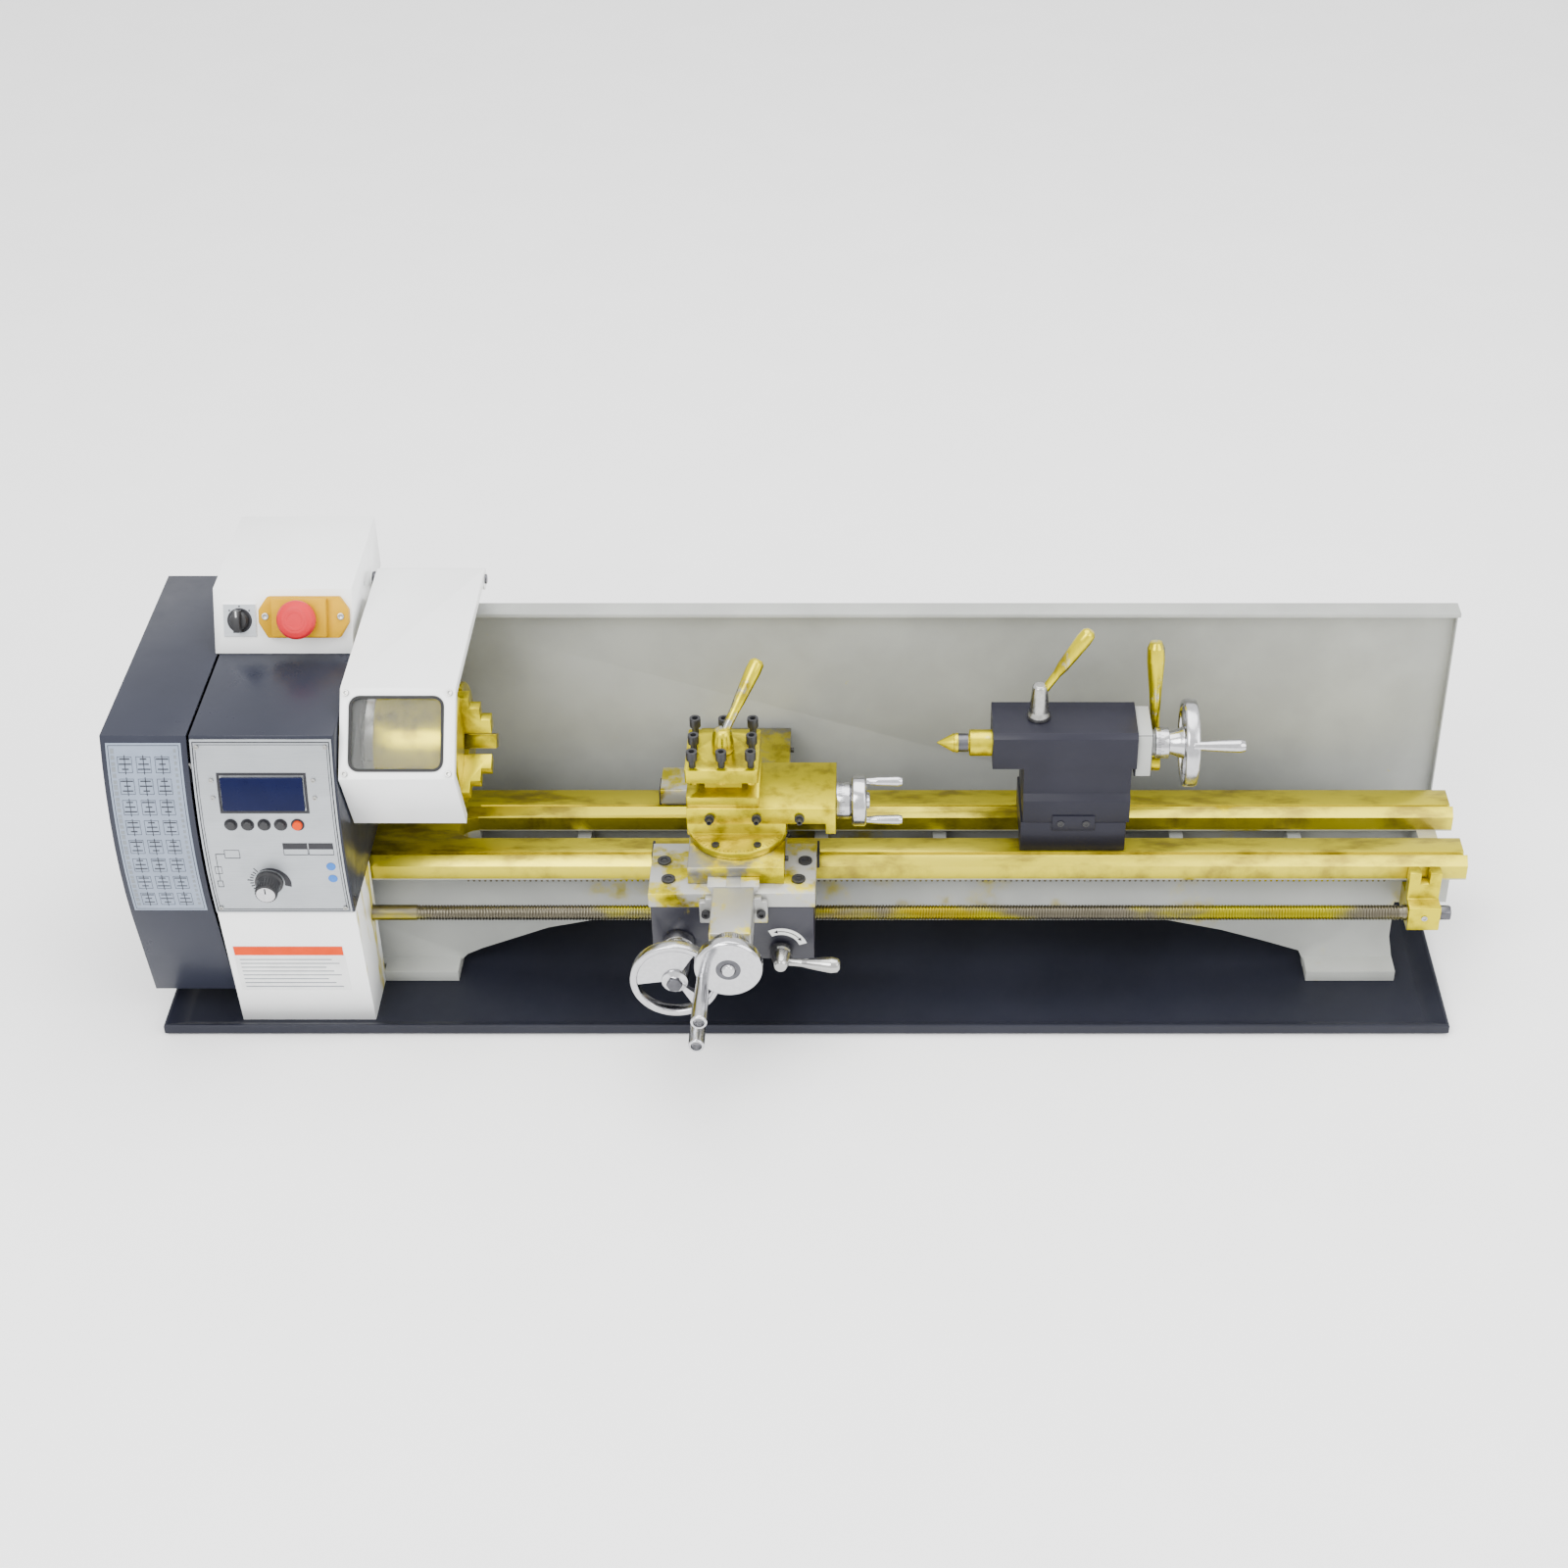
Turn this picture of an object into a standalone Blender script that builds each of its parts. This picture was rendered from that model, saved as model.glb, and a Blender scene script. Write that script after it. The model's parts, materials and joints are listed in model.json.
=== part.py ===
"""Bench metal lathe, about 1.33 m long. X runs along the bed towards the tailstock, Y away from the
operator, Z up. The origin is on the underside of the chip tray, straight below the spindle axis."""

import math

import bmesh
import bpy
from mathutils import Matrix, Vector

# Driving dimensions, in millimetres.
TRAY_HALF, TRAY_FRONT, TRAY_BACK, TRAY_RIM = 660.0, -155.0, 140.0, 13.0
FLOOR = 3.3
BED_LEFT, BED_RIGHT, BED_FLAT, VEE_TOP, RAIL_UNDER = -584.0, 677.0, 151.0, 158.5, 133.0
RIBS = (-237.0, -112.0, 13.0, 138.0, 263.0, 388.0, 513.0)
AXIS_Z = 259.0
SCREW_Y, SCREW_Z, SCREW_R = -81.0, 102.5, 8.0
HEAD_L, HEAD_R, HEAD_TOP, HEAD_BACK, HEAD_FOOT = -584.0, -446.0, 361.0, 170.0, 160.0
COVER_L, COVER_R, COVER_BACK, COVER_FOOT = -669.0, -586.5, 159.0, 40.0
CURVE = ((-135.0, 361.0), (-157.5, 240.0), (-152.0, 158.0))
SHEET = 2.0
KEY_X, KEY_Z = (-552.0, -536.0, -520.0, -504.0, -487.5), 271.0
KNOB_X, KNOB_Z = -524.0, 203.0
FACE_FOOT, FACE_HEAD = Vector((8.0, 361.5)), Vector((37.0, 420.0))
STOP_X, STOP_V = -499.0, 37.0
GUARD_L, GUARD_R = -444.0, -333.0
GUARD_LINE = ((131.0, 385.0), (-89.0, 385.0), (-147.0, 318.0), (-112.0, 240.0))
GUARD_PIVOT = (131.0, 374.0)
CHUCK_R, CHUCK_L, CHUCK_FACE, JAW_ROOT = 62.5, -437.7, -346.0, -362.0
JAW_ANGLES = (90, 210, 330)
MOTOR = (104.6, 205.0)
CROSS_X, CROSS_Z = -70.0, 170.0
SWIVEL = (-68.0, -66.0)
TOP_Y, TOP_Z = -48.0, 221.0
POST = (-81.5, -46.5)
HAND_X, HAND_Z = -127.0, 115.0
SHAFT_X, SHAFT_Z = -91.0, 115.4
NUT_X, NUT_Z, NUT_OPEN = -24.0, 106.0, 8.7
CLAMP_Y, CLAMP_Z = 20.0, 222.0
SPINDLE_TEETH, IDLER_TEETH, STUD_TEETH, STUD_SMALL, SCREW_TEETH, MODULE = 20, 16, 30, 14, 32, 3.0
HAND_TEETH, APRON_TEETH, APRON_MODULE = 12, 24, 2.0
RACK_TEETH, RACK_MODULE = 8, 1.85

PAINTS = {
    "slate": ((0.055, 0.06, 0.085), 0.3, 0.0),
    "white": ((0.83, 0.84, 0.83), 0.4, 0.0),
    "grey": ((0.55, 0.56, 0.53), 0.5, 0.0),
    "navy": ((0.03, 0.038, 0.055), 0.35, 0.0),
    "iron": ((0.05, 0.05, 0.06), 0.45, 0.0),
    "steel": ((0.56, 0.57, 0.58), 0.3, 1.0),
    "greased": ((0.6, 0.55, 0.06), 0.3, 1.0),
    "alloy": ((0.75, 0.76, 0.78), 0.25, 1.0),
    "plate": ((0.62, 0.64, 0.66), 0.4, 0.2),
    "black": ((0.02, 0.02, 0.022), 0.5, 0.0),
    "orange": ((0.9, 0.16, 0.03), 0.4, 0.0),
    "yellow": ((0.93, 0.68, 0.02), 0.4, 0.0),
    "red": ((0.75, 0.05, 0.06), 0.4, 0.0),
    "lcd": ((0.01, 0.015, 0.06), 0.2, 0.0),
    "rubber": ((0.03, 0.03, 0.03), 0.8, 0.0),
    "clear": ((0.75, 0.78, 0.78), 0.1, 0.0),
}


def solid(points, faces):
    """A closed mesh object from points in millimetres, with its faces turned outwards."""
    mesh = bpy.data.meshes.new("solid")
    mesh.from_pydata([Vector(p) * 0.001 for p in points], [], faces)
    tool = bmesh.new()
    tool.from_mesh(mesh)
    bmesh.ops.recalc_face_normals(tool, faces=tool.faces)
    tool.to_mesh(mesh)
    tool.free()
    obj = bpy.data.objects.new("solid", mesh)
    bpy.context.scene.collection.objects.link(obj)
    return obj


def at(axis, along, u, v):
    """A point from its place along an axis and the two other coordinates in X, Y, Z order."""
    return {"x": (along, u, v), "y": (u, along, v), "z": (u, v, along)}[axis]


def prism(axis, outline, low, high):
    count = len(outline)
    points = [at(axis, end, u, v) for end in (low, high) for u, v in outline]
    faces = [tuple(range(count)), tuple(range(2 * count - 1, count - 1, -1))]
    faces += [(i, (i + 1) % count, (i + 1) % count + count, i + count) for i in range(count)]
    return solid(points, faces)


def box(x0, x1, y0, y1, z0, z1):
    return prism("z", ((x0, y0), (x1, y0), (x1, y1), (x0, y1)), z0, z1)


def turned(axis, centre, profile, segments=24, ring=False):
    """A body of revolution. The profile is (along, radius) pairs; ring joins its last pair to its first."""
    points, rows = [], []
    for along, radius in profile:
        if radius == 0:
            rows.append([len(points)] * segments)
            points.append(at(axis, along, *centre))
            continue
        rows.append(list(range(len(points), len(points) + segments)))
        for i in range(segments):
            angle = 2 * math.pi * (i + 0.5) / segments
            points.append(
                at(
                    axis,
                    along,
                    centre[0] + radius * math.cos(angle),
                    centre[1] + radius * math.sin(angle),
                )
            )
    faces = []
    pairs = list(zip(rows, rows[1:])) + ([(rows[-1], rows[0])] if ring else [])
    for one, two in pairs:
        for i in range(segments):
            j = (i + 1) % segments
            face = list(dict.fromkeys((one[i], one[j], two[j], two[i])))
            if len(face) > 2:
                faces.append(face)
    return solid(points, faces)


def rod(start, end, radii, segments=12, steps=None):
    """A straight tapered rod between two points; steps are the fractions at which the radii apply."""
    start, end = Vector(start), Vector(end)
    length = (end - start).length
    steps = steps or [i / (len(radii) - 1) for i in range(len(radii))]
    profile = [(0, 0)] + [(s * length, r) for s, r in zip(steps, radii)] + [(length, 0)]
    obj = turned("z", (0, 0), profile, segments)
    turn = (end - start).to_track_quat("Z", "Y").to_matrix().to_4x4()
    obj.data.transform(Matrix.Translation(start * 0.001) @ turn)
    return obj


def merge(target, tool, operation):
    step = target.modifiers.new("step", "BOOLEAN")
    step.operation, step.solver, step.object = operation, "EXACT", tool
    bpy.context.view_layer.update()
    graph = bpy.context.evaluated_depsgraph_get()
    mesh = bpy.data.meshes.new_from_object(target.evaluated_get(graph))
    target.modifiers.clear()
    target.data = mesh
    bpy.data.objects.remove(tool)
    return target


def add(target, *tools):
    for tool in tools:
        merge(target, tool, "UNION")
    return target


def cut(target, *tools):
    for tool in tools:
        merge(target, tool, "DIFFERENCE")
    return target


def finish(obj, name, paint, origin=(0, 0, 0)):
    """Names a piece, gives it its own material and shading, and puts its origin where it turns or slides."""
    colour, rough, metal = PAINTS[paint]
    material = bpy.data.materials.new(name)
    material.use_nodes = True
    shader = material.node_tree.nodes["Principled BSDF"]
    shader.inputs["Base Color"].default_value = (*colour, 1)
    shader.inputs["Roughness"].default_value = rough
    shader.inputs["Metallic"].default_value = metal
    obj.data.materials.clear()
    obj.data.materials.append(material)
    for face in obj.data.polygons:
        face.use_smooth = True
        face.material_index = 0
    obj.data.set_sharp_from_angle(angle=math.radians(32))
    place = Vector(origin) * 0.001
    obj.data.transform(Matrix.Translation(-place))
    obj.location = place
    obj.name = obj.data.name = name
    return obj


def gear(axis, centre, teeth, module, low, high, phase=0.0):
    """A spur gear blank with straight-flanked teeth, thinned for a free-running mesh."""
    pitch = module * teeth / 2
    outline = []
    for i in range(teeth):
        middle = 2 * math.pi * i / teeth + phase
        for radius, half in (
            (pitch - 1.2 * module, 0.62),
            (pitch + 0.85 * module, 0.2),
        ):
            outline.append((radius, middle - half * math.pi / teeth))
        for radius, half in (
            (pitch + 0.85 * module, 0.2),
            (pitch - 1.2 * module, 0.62),
        ):
            outline.append((radius, middle + half * math.pi / teeth))
    outline = [
        (centre[0] + r * math.cos(a), centre[1] + r * math.sin(a)) for r, a in outline
    ]
    return prism(axis, outline, low, high)


def meet(one, reach_one, two, reach_two):
    """The point at both reaches, on the operator's side of the line between the centres."""
    gap = Vector(two) - Vector(one)
    along = (reach_one**2 - reach_two**2 + gap.length**2) / (2 * gap.length)
    across = math.sqrt(reach_one**2 - along**2)
    return Vector(one) + gap.normalized() * along + Vector((gap.y, -gap.x)).normalized() * across


def meshing_phase(driver, driver_teeth, driver_phase, driven, driven_teeth):
    """The phase that sets a tooth space of the driven gear over a tooth of the driver."""
    line = Vector(driven) - Vector(driver)
    angle = math.atan2(line.y, line.x)
    turn = (angle - driver_phase) * driver_teeth / (2 * math.pi)
    offset = turn - math.floor(turn)
    return angle + math.pi + 2 * math.pi * (0.5 + offset) / driven_teeth


def circle_through(one, two, three):
    a, b, c = Vector(one), Vector(two), Vector(three)
    d = 2 * (a.x * (b.y - c.y) + b.x * (c.y - a.y) + c.x * (a.y - b.y))
    sa, sb, sc = a.length_squared, b.length_squared, c.length_squared
    centre = Vector(
        (
            (sa * (b.y - c.y) + sb * (c.y - a.y) + sc * (a.y - b.y)) / d,
            (sa * (c.x - b.x) + sb * (a.x - c.x) + sc * (b.x - a.x)) / d,
        )
    )
    return centre, (a - centre).length


def curve_points(out, low, high, count=8):
    """Points (y, z) of the bowed front, moved out along its normal, from low to high z."""
    centre, radius = circle_through(*CURVE)
    radius += out
    for i in range(count):
        z = low + (high - low) * i / (count - 1)
        yield (centre.x - math.sqrt(radius**2 - (z - centre.y) ** 2), z)


def curve_normal(z):
    """A point (y, z) of the bowed front and the unit normal there."""
    (y, z) = next(iter(curve_points(0, z, z + 1)))
    centre, _ = circle_through(*CURVE)
    normal = (Vector((y, z)) - centre).normalized()
    return Vector((y, z)), normal


def sheet_outline(line, thickness):
    """A polyline thickened to its right-hand side, as a closed outline."""
    inner = []
    points = [Vector(p) for p in line]
    for i, p in enumerate(points):
        sides = []
        if i > 0:
            sides.append((p - points[i - 1]).normalized())
        if i < len(points) - 1:
            sides.append((points[i + 1] - p).normalized())
        normals = [Vector((-d.y, d.x)) for d in sides]
        middle = sum(normals, Vector((0, 0))).normalized()
        inner.append(p + middle * thickness / middle.dot(normals[0]))
    return [tuple(p) for p in points] + [tuple(p) for p in reversed(inner)]


def tray():
    rings = (
        (TRAY_HALF - 4, TRAY_FRONT + 4, TRAY_BACK - 4, 0.0),
        (TRAY_HALF, TRAY_FRONT, TRAY_BACK, TRAY_RIM),
        (TRAY_HALF - 2.5, TRAY_FRONT + 2.5, TRAY_BACK - 2.5, TRAY_RIM),
        (TRAY_HALF - 24, TRAY_FRONT + 20, TRAY_BACK - 8, 3.0),
    )
    points = []
    for half, front, back, z in rings:
        points += [(-half, front, z), (half, front, z), (half, back, z), (-half, back, z)]
    faces = [(0, 1, 2, 3), (12, 13, 14, 15)]
    for row in range(3):
        for i in range(4):
            j = (i + 1) % 4
            faces.append((4 * row + i, 4 * row + j, 4 * row + 4 + j, 4 * row + 4 + i))
    finish(solid(points, faces), "tray", "navy")


def back_splash():
    outline = ((126, 14), (128, 14), (128, 347), (106, 347), (106, 342), (108, 342), (108, 345), (126, 345))
    panel = prism("x", outline, -443, 676)
    add(panel, box(-443, 632, 126, 128, FLOOR, 15), box(-443, 632, 112, 127, FLOOR, 5.3))
    add(panel, box(674, 676, 117, 127, 14, 346))
    finish(panel, "back_splash", "grey")


def bed():
    front = (
        (-18, BED_FLAT), (-42, BED_FLAT), (-42, 148), (-46.5, 148), (-57, VEE_TOP),
        (-65.5, 150), (-65.5, RAIL_UNDER), (-18, RAIL_UNDER),
    )  # fmt: skip
    rear = (
        (67, BED_FLAT), (40, BED_FLAT), (40, 148), (37.5, 148), (27, VEE_TOP),
        (18.5, 150), (18.5, RAIL_UNDER), (67, RAIL_UNDER),
    )  # fmt: skip
    web = (
        (BED_LEFT, 134), (BED_LEFT, FLOOR), (-368, FLOOR), (-368, 12), (-361, 20), (-345, 28),
        (-273, 56), (-226, 66), (376, 66), (433, 53), (477, 39), (517, 25), (523, 12), (523, FLOOR),
        (617, FLOOR), (617, 12), (611, 44), (611, 90), (665, 90), (665, 134),
    )  # fmt: skip
    body = prism("x", front, BED_LEFT, BED_RIGHT)
    add(body, box(BED_LEFT, -346, -40, 67, 120, BED_FLAT))
    add(body, prism("x", rear, -357, BED_RIGHT))
    cut(body, turned("z", (-346, 0), [(90, 0), (90, 18), (170, 18), (170, 0)], 20))
    add(body, prism("y", web, -48, -36), prism("y", web, 48, 60))
    add(body, box(-457.5, -368.4, -58, 70, FLOOR, 16), box(-445.6, -368.4, -72, -50, FLOOR, 16))
    add(body, box(523.4, 616.6, -72, 70, FLOOR, 16))
    for x in RIBS:
        add(body, box(x - 7, x + 7, -37, 49, 68, 123))
    add(body, box(640, 660, -37, 49, 92, 134), box(BED_LEFT, -572, -37, 49, 40, 121))
    finish(body, "bed", "grey")


def rack():
    finish(box(-350, 600, -58, -48.3, 124.7, RAIL_UNDER - 0.3), "rack", "steel")


def headstock():
    outline = (
        (-40, BED_FLAT + 0.3), (60, BED_FLAT + 0.3), (60, 290), (46, 302), (-46, 302), (-58, 290),
        (-58, 162), (-40, 162),
    )  # fmt: skip
    casting = prism("x", outline, -575, -449)
    cut(casting, turned("x", (0, AXIS_Z), [(-600, 0), (-600, 25.7), (-430, 25.7), (-430, 0)], 20))
    finish(casting, "headstock_casting", "iron")

    back = [(HEAD_BACK, HEAD_TOP), (HEAD_BACK, HEAD_FOOT)]
    shell = prism("x", [*curve_points(0, HEAD_FOOT, HEAD_TOP), *back], HEAD_L, HEAD_R)
    top = HEAD_TOP - SHEET
    back = [(HEAD_BACK - SHEET, top), (HEAD_BACK - SHEET, HEAD_FOOT - 10)]
    hollow = prism("x", [*curve_points(-SHEET, HEAD_FOOT - 10, top), *back], HEAD_L + SHEET, HEAD_R - SHEET)
    cut(shell, hollow)
    cut(shell, turned("x", (0, AXIS_Z), [(-700, 0), (-700, 27.5), (-500, 27.5), (-500, 0)], 16))
    cut(shell, turned("x", (0, AXIS_Z), [(-500, 0), (-500, 45), (-400, 45), (-400, 0)], 20))
    cut(shell, turned("x", MOTOR, [(-700, 0), (-700, 10), (-570, 10), (-570, 0)], 10))
    for x in KEY_X:
        cut(shell, normal_rod(x, KEY_Z, ((5.4, -8), (5.4, 8)), 8))
    finish(shell, "headstock_cover", "slate")

    cabinet = prism("x", ((-134, FLOOR), (-152, 159.6), (-68, 159.6), (-68, FLOOR)), HEAD_L + 1, HEAD_R)
    room = ((-132, 0), (-150.3, 165), (-60, 165), (-60, 0))
    cut(cabinet, prism("x", room, HEAD_L + 1 + SHEET, HEAD_R - SHEET))
    cut(cabinet, turned("x", (SCREW_Y, SCREW_Z), [(-700, 0), (-700, 9.5), (-400, 9.5), (-400, 0)], 16))
    finish(cabinet, "base_cabinet", "white")


def normal_rod(x, z, profile, segments):
    """A turned piece along the normal of the bowed front at height z, from (radius, distance out) pairs."""
    (y, z), normal = curve_normal(z)
    ends = [(x, y + normal.x * w, z + normal.y * w) for w in (profile[0][1], profile[-1][1])]
    length = profile[-1][1] - profile[0][1]
    steps = [(w - profile[0][1]) / length for _, w in profile]
    return rod(*ends, [r for r, _ in profile], segments, steps)


def control_panel():
    front = list(curve_points(1.5, HEAD_FOOT + 0.5, 358))
    back = list(curve_points(0.3, HEAD_FOOT + 0.5, 358))
    plate = prism("x", front + back[::-1], -583, -448)
    for x in KEY_X:
        cut(plate, normal_rod(x, KEY_Z, ((5.4, -8), (5.4, 8)), 8))
    finish(plate, "control_panel", "plate")

    (y, z), normal = curve_normal(304.5)
    up = Vector((-normal.y, normal.x)) * (1 if normal.x > 0 else -1)
    corners = []
    for v, w in ((-17.5, 1.9), (17.5, 1.9), (17.5, 4.5), (-17.5, 4.5)):
        spot = Vector((y, z)) + up * v + normal * w
        corners.append(tuple(spot))
    finish(prism("x", corners, -557, -478), "display", "lcd")

    for i, x in enumerate(KEY_X):
        (y, z), normal = curve_normal(KEY_Z)
        key = normal_rod(x, KEY_Z, ((4.6, -5), (4.6, 5.5)), 10)
        finish(key, f"key_{i + 1}" if i < 4 else "run_key", "black" if i < 4 else "orange", (x, y, z))

    (y, z), normal = curve_normal(KNOB_Z)
    knob = normal_rod(KNOB_X, KNOB_Z, ((14, 1.9), (14, 4.4), (12, 5.6), (10.6, 21.9)), 14)
    finish(knob, "speed_knob", "black", (KNOB_X, y + normal.x * 1.9, z + normal.y * 1.9))


def gear_cover():
    front = [(-128, COVER_FOOT), *curve_points(0, 158, HEAD_TOP)]
    shell = prism("x", [*front, (COVER_BACK, HEAD_TOP), (COVER_BACK, COVER_FOOT)], COVER_L, COVER_R)
    back, top, foot = COVER_BACK - SHEET, HEAD_TOP - SHEET, COVER_FOOT + SHEET
    hollow = [(-126.3, foot), *curve_points(-SHEET, 158, top), (back, top), (back, foot)]
    cut(shell, prism("x", hollow, COVER_L + SHEET, COVER_R + 5))
    finish(shell, "gear_cover", "slate", (COVER_R, COVER_BACK + 2, 200))


FACE_UP = (FACE_HEAD - FACE_FOOT).normalized()
FACE_OUT = Vector((-FACE_UP.y, FACE_UP.x))


def on_face(v, w):
    """A point (y, z) v up the sloping front of the electrics box and w out of it."""
    return tuple(FACE_FOOT + FACE_UP * v + FACE_OUT * w)


def face_plate(outline, low, high):
    """A prism standing on the sloping front, from an outline in (x, v)."""
    return slab([[(x, *on_face(v, w)) for x, v in outline] for w in (low, high)])


def slab(ends):
    """A solid between two matching outlines of points."""
    count = len(ends[0])
    faces = [tuple(range(count)), tuple(range(2 * count - 1, count - 1, -1))]
    faces += [(i, (i + 1) % count, (i + 1) % count + count, i + count) for i in range(count)]
    return solid(ends[0] + ends[1], faces)


def face_rod(x, v, profile, segments):
    """A turned piece standing on the sloping front, from (radius, distance out) pairs."""
    low, high = profile[0][1], profile[-1][1]
    steps = [(w - low) / (high - low) for _, w in profile]
    return rod((x, *on_face(v, low)), (x, *on_face(v, high)), [r for r, _ in profile], segments, steps)


def electrics():
    left, right = -588.0, -450.0
    outline = (tuple(FACE_FOOT), tuple(FACE_HEAD), (180, 420), (180, 361.5))
    shell = prism("x", outline, left, right)
    inside = ((10.2, 350), (10.2, 361.4), (38.4, 418), (178, 418), (178, 350))
    cut(shell, prism("x", inside, left + SHEET, right - SHEET))
    add(shell, face_plate(((-578.5, 17), (-545.5, 17), (-545.5, 50), (-578.5, 50)), -1, 1.6))
    boss = [(-451, 0), (-451, 9), (-449, 9), (-449, 0)]
    add(shell, turned("x", GUARD_PIVOT, boss, 16))
    finish(shell, "electrics_box", "white")

    lever = face_rod(-562, 33.5, ((9.5, 1.9), (9.5, 5), (8, 9)), 16)
    add(lever, face_plate(((-565, 22.5), (-559, 22.5), (-559, 44.5), (-565, 44.5)), 5, 17))
    finish(lever, "selector_switch", "black", (-562, *on_face(33.5, 0)))

    station = (
        (-541, 32), (-532, 17), (-461, 17), (-452, 32), (-452, 45), (-461, 58), (-532, 58), (-541, 45),
    )  # fmt: skip
    station = face_plate(station, 0.3, 12)
    cut(station, face_plate(((-522, 22), (-476, 22), (-476, 54), (-522, 54)), 6, 13))
    finish(station, "stop_station", "yellow")
    lid = face_plate(((-526, 19), (-472, 19), (-472, 57), (-526, 57)), 12.3, 22)
    cut(lid, face_rod(STOP_X, STOP_V, ((8.4, 10), (8.4, 25)), 16))
    finish(lid, "stop_lid", "yellow", (STOP_X, *on_face(57, 12.3)))
    mushroom = face_rod(STOP_X, STOP_V, ((8, 15), (8, 26), (19.2, 28), (19.2, 34), (15, 39.5)), 20)
    finish(mushroom, "stop_mushroom", "red", (STOP_X, *on_face(STOP_V, 20)))


def drive():
    motor = [(-560, 0), (-560, 24), (-556, 41.5), (-469, 41.5), (-465, 36), (-461, 0)]
    motor = turned("x", MOTOR, motor, 18)
    cut(motor, turned("x", MOTOR, [(-570, 0), (-570, 7.4), (-540, 7.4), (-540, 0)], 16))
    finish(motor, "motor", "black")
    profile = [
        (-613, 0), (-613, 22), (-610.6, 22), (-610.6, 19.5), (-595.4, 19.5), (-595.4, 22), (-593, 22),
        (-593, 7), (-545, 7), (-545, 0),
    ]  # fmt: skip
    finish(turned("x", MOTOR, profile, 16), "motor_pulley", "steel", (-603, *MOTOR))

    profile = [
        (-655, 19), (-655, 21.5), (-616, 21.5), (-616, 25), (-444.8, 25), (-444.8, 40), (-438, 40),
        (-438, 19),
    ]  # fmt: skip
    spindle = turned("x", (0, AXIS_Z), profile, 20, True)
    wheel = gear("x", (0, AXIS_Z), SPINDLE_TEETH, MODULE, -642, -632)
    cut(wheel, turned("x", (0, AXIS_Z), [(-650, 0), (-650, 20.3), (-630, 20.3), (-630, 0)], 20))
    add(spindle, wheel)
    finish(spindle, "spindle", "steel", (-445, 0, AXIS_Z))
    profile = [
        (-613, 25.3), (-613, 42), (-610.6, 42), (-610.6, 39), (-595.4, 39), (-595.4, 42), (-593, 42),
        (-593, 25.3),
    ]  # fmt: skip
    finish(turned("x", (0, AXIS_Z), profile, 20, True), "spindle_pulley", "alloy", (-603, 0, AXIS_Z))

    band = prism("x", belt_line(2.6), -609.6, -596.4)
    cut(band, prism("x", belt_line(0.4), -620, -590))
    finish(band, "drive_belt", "rubber")


def belt_line(out):
    """The closed line round both pulleys, out from their grooves."""
    small, large = Vector(MOTOR), Vector((0.0, AXIS_Z))
    line = large - small
    lean = math.pi - math.acos((39 - 19.5) / line.length)
    base = math.atan2(line.y, line.x)
    outline = []
    for i in range(17):
        angle = base + lean - 2 * lean * i / 16
        outline.append(large + Vector((math.cos(angle), math.sin(angle))) * (39 + out))
    for i in range(9):
        angle = base - lean - (2 * math.pi - 2 * lean) * i / 8
        outline.append(small + Vector((math.cos(angle), math.sin(angle))) * (19.5 + out))
    return [tuple(p) for p in outline]


def gear_train():
    spindle, screw = (0.0, AXIS_Z), (SCREW_Y, SCREW_Z)
    reach = MODULE * (STUD_SMALL + SCREW_TEETH) / 2
    lean = math.radians(75)
    stud = (SCREW_Y + reach * math.cos(lean), SCREW_Z + reach * math.sin(lean))
    near = MODULE * (SPINDLE_TEETH + IDLER_TEETH) / 2
    idler = meet(spindle, near, stud, MODULE * (STUD_TEETH + IDLER_TEETH) / 2)
    idler_phase = meshing_phase(spindle, SPINDLE_TEETH, 0.0, idler, IDLER_TEETH)
    stud_phase = meshing_phase(idler, IDLER_TEETH, idler_phase, stud, STUD_TEETH)
    screw_phase = meshing_phase(stud, STUD_SMALL, stud_phase, screw, SCREW_TEETH)
    bore = [(-650, 0), (-650, 5.5), (-610, 5.5), (-610, 0)]

    wheel = gear("x", idler, IDLER_TEETH, MODULE, -642, -632, idler_phase)
    finish(cut(wheel, turned("x", idler, bore, 10)), "idler_gear", "steel", (-637, *idler))
    wheel = gear("x", stud, STUD_TEETH, MODULE, -642, -632, stud_phase)
    add(wheel, gear("x", stud, STUD_SMALL, MODULE, -633, -618, stud_phase))
    finish(cut(wheel, turned("x", stud, bore, 10)), "stud_gear", "steel", (-637, *stud))

    arm = turned("x", screw, [(-617, 0), (-617, 18), (-613.4, 18), (-613.4, 0)], 14)
    for one, two, width in ((screw, stud, 11), (stud, idler, 9)):
        a, b = Vector(one), Vector(two)
        tip = (b - a).normalized() * width
        side = Vector((-tip.y, tip.x))
        outline = [tuple(p) for p in (a - side, b + tip - side, b + tip + side, a + side)]
        add(arm, prism("x", outline, -617, -613.4))
    for centre in (stud, idler):
        pin = [(-647, 0), (-647, 8), (-643, 8), (-643, 5), (-615, 5), (-615, 0)]
        add(arm, turned("x", centre, pin, 10))
    collar = [(-614, 0), (-614, 14), (-586, 14), (-586, 0)]
    add(arm, turned("x", screw, collar, 14))
    cut(arm, turned("x", screw, [(-620, 0), (-620, 8.7), (-580, 8.7), (-580, 0)], 12))
    finish(arm, "banjo", "iron")

    profile = [(-630, 0), (-630, SCREW_R), (660, SCREW_R), (662, 6.5), (662, 0)]
    shaft = turned("x", screw, profile, 12)
    add(shaft, gear("x", screw, SCREW_TEETH, MODULE, -628, -618, screw_phase))
    finish(shaft, "leadscrew", "steel", (0, *screw))

    bracket = box(616, 649, -95, -48.4, 90, 118)
    add(bracket, box(616, 649, -78, -66, 117, 150))
    cut(bracket, box(628, 637, -80, -60, 136, 155))
    cut(bracket, turned("x", screw, [(600, 0), (600, 8.4), (700, 8.4), (700, 0)], 20))
    finish(bracket, "screw_bracket", "greased")


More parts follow.
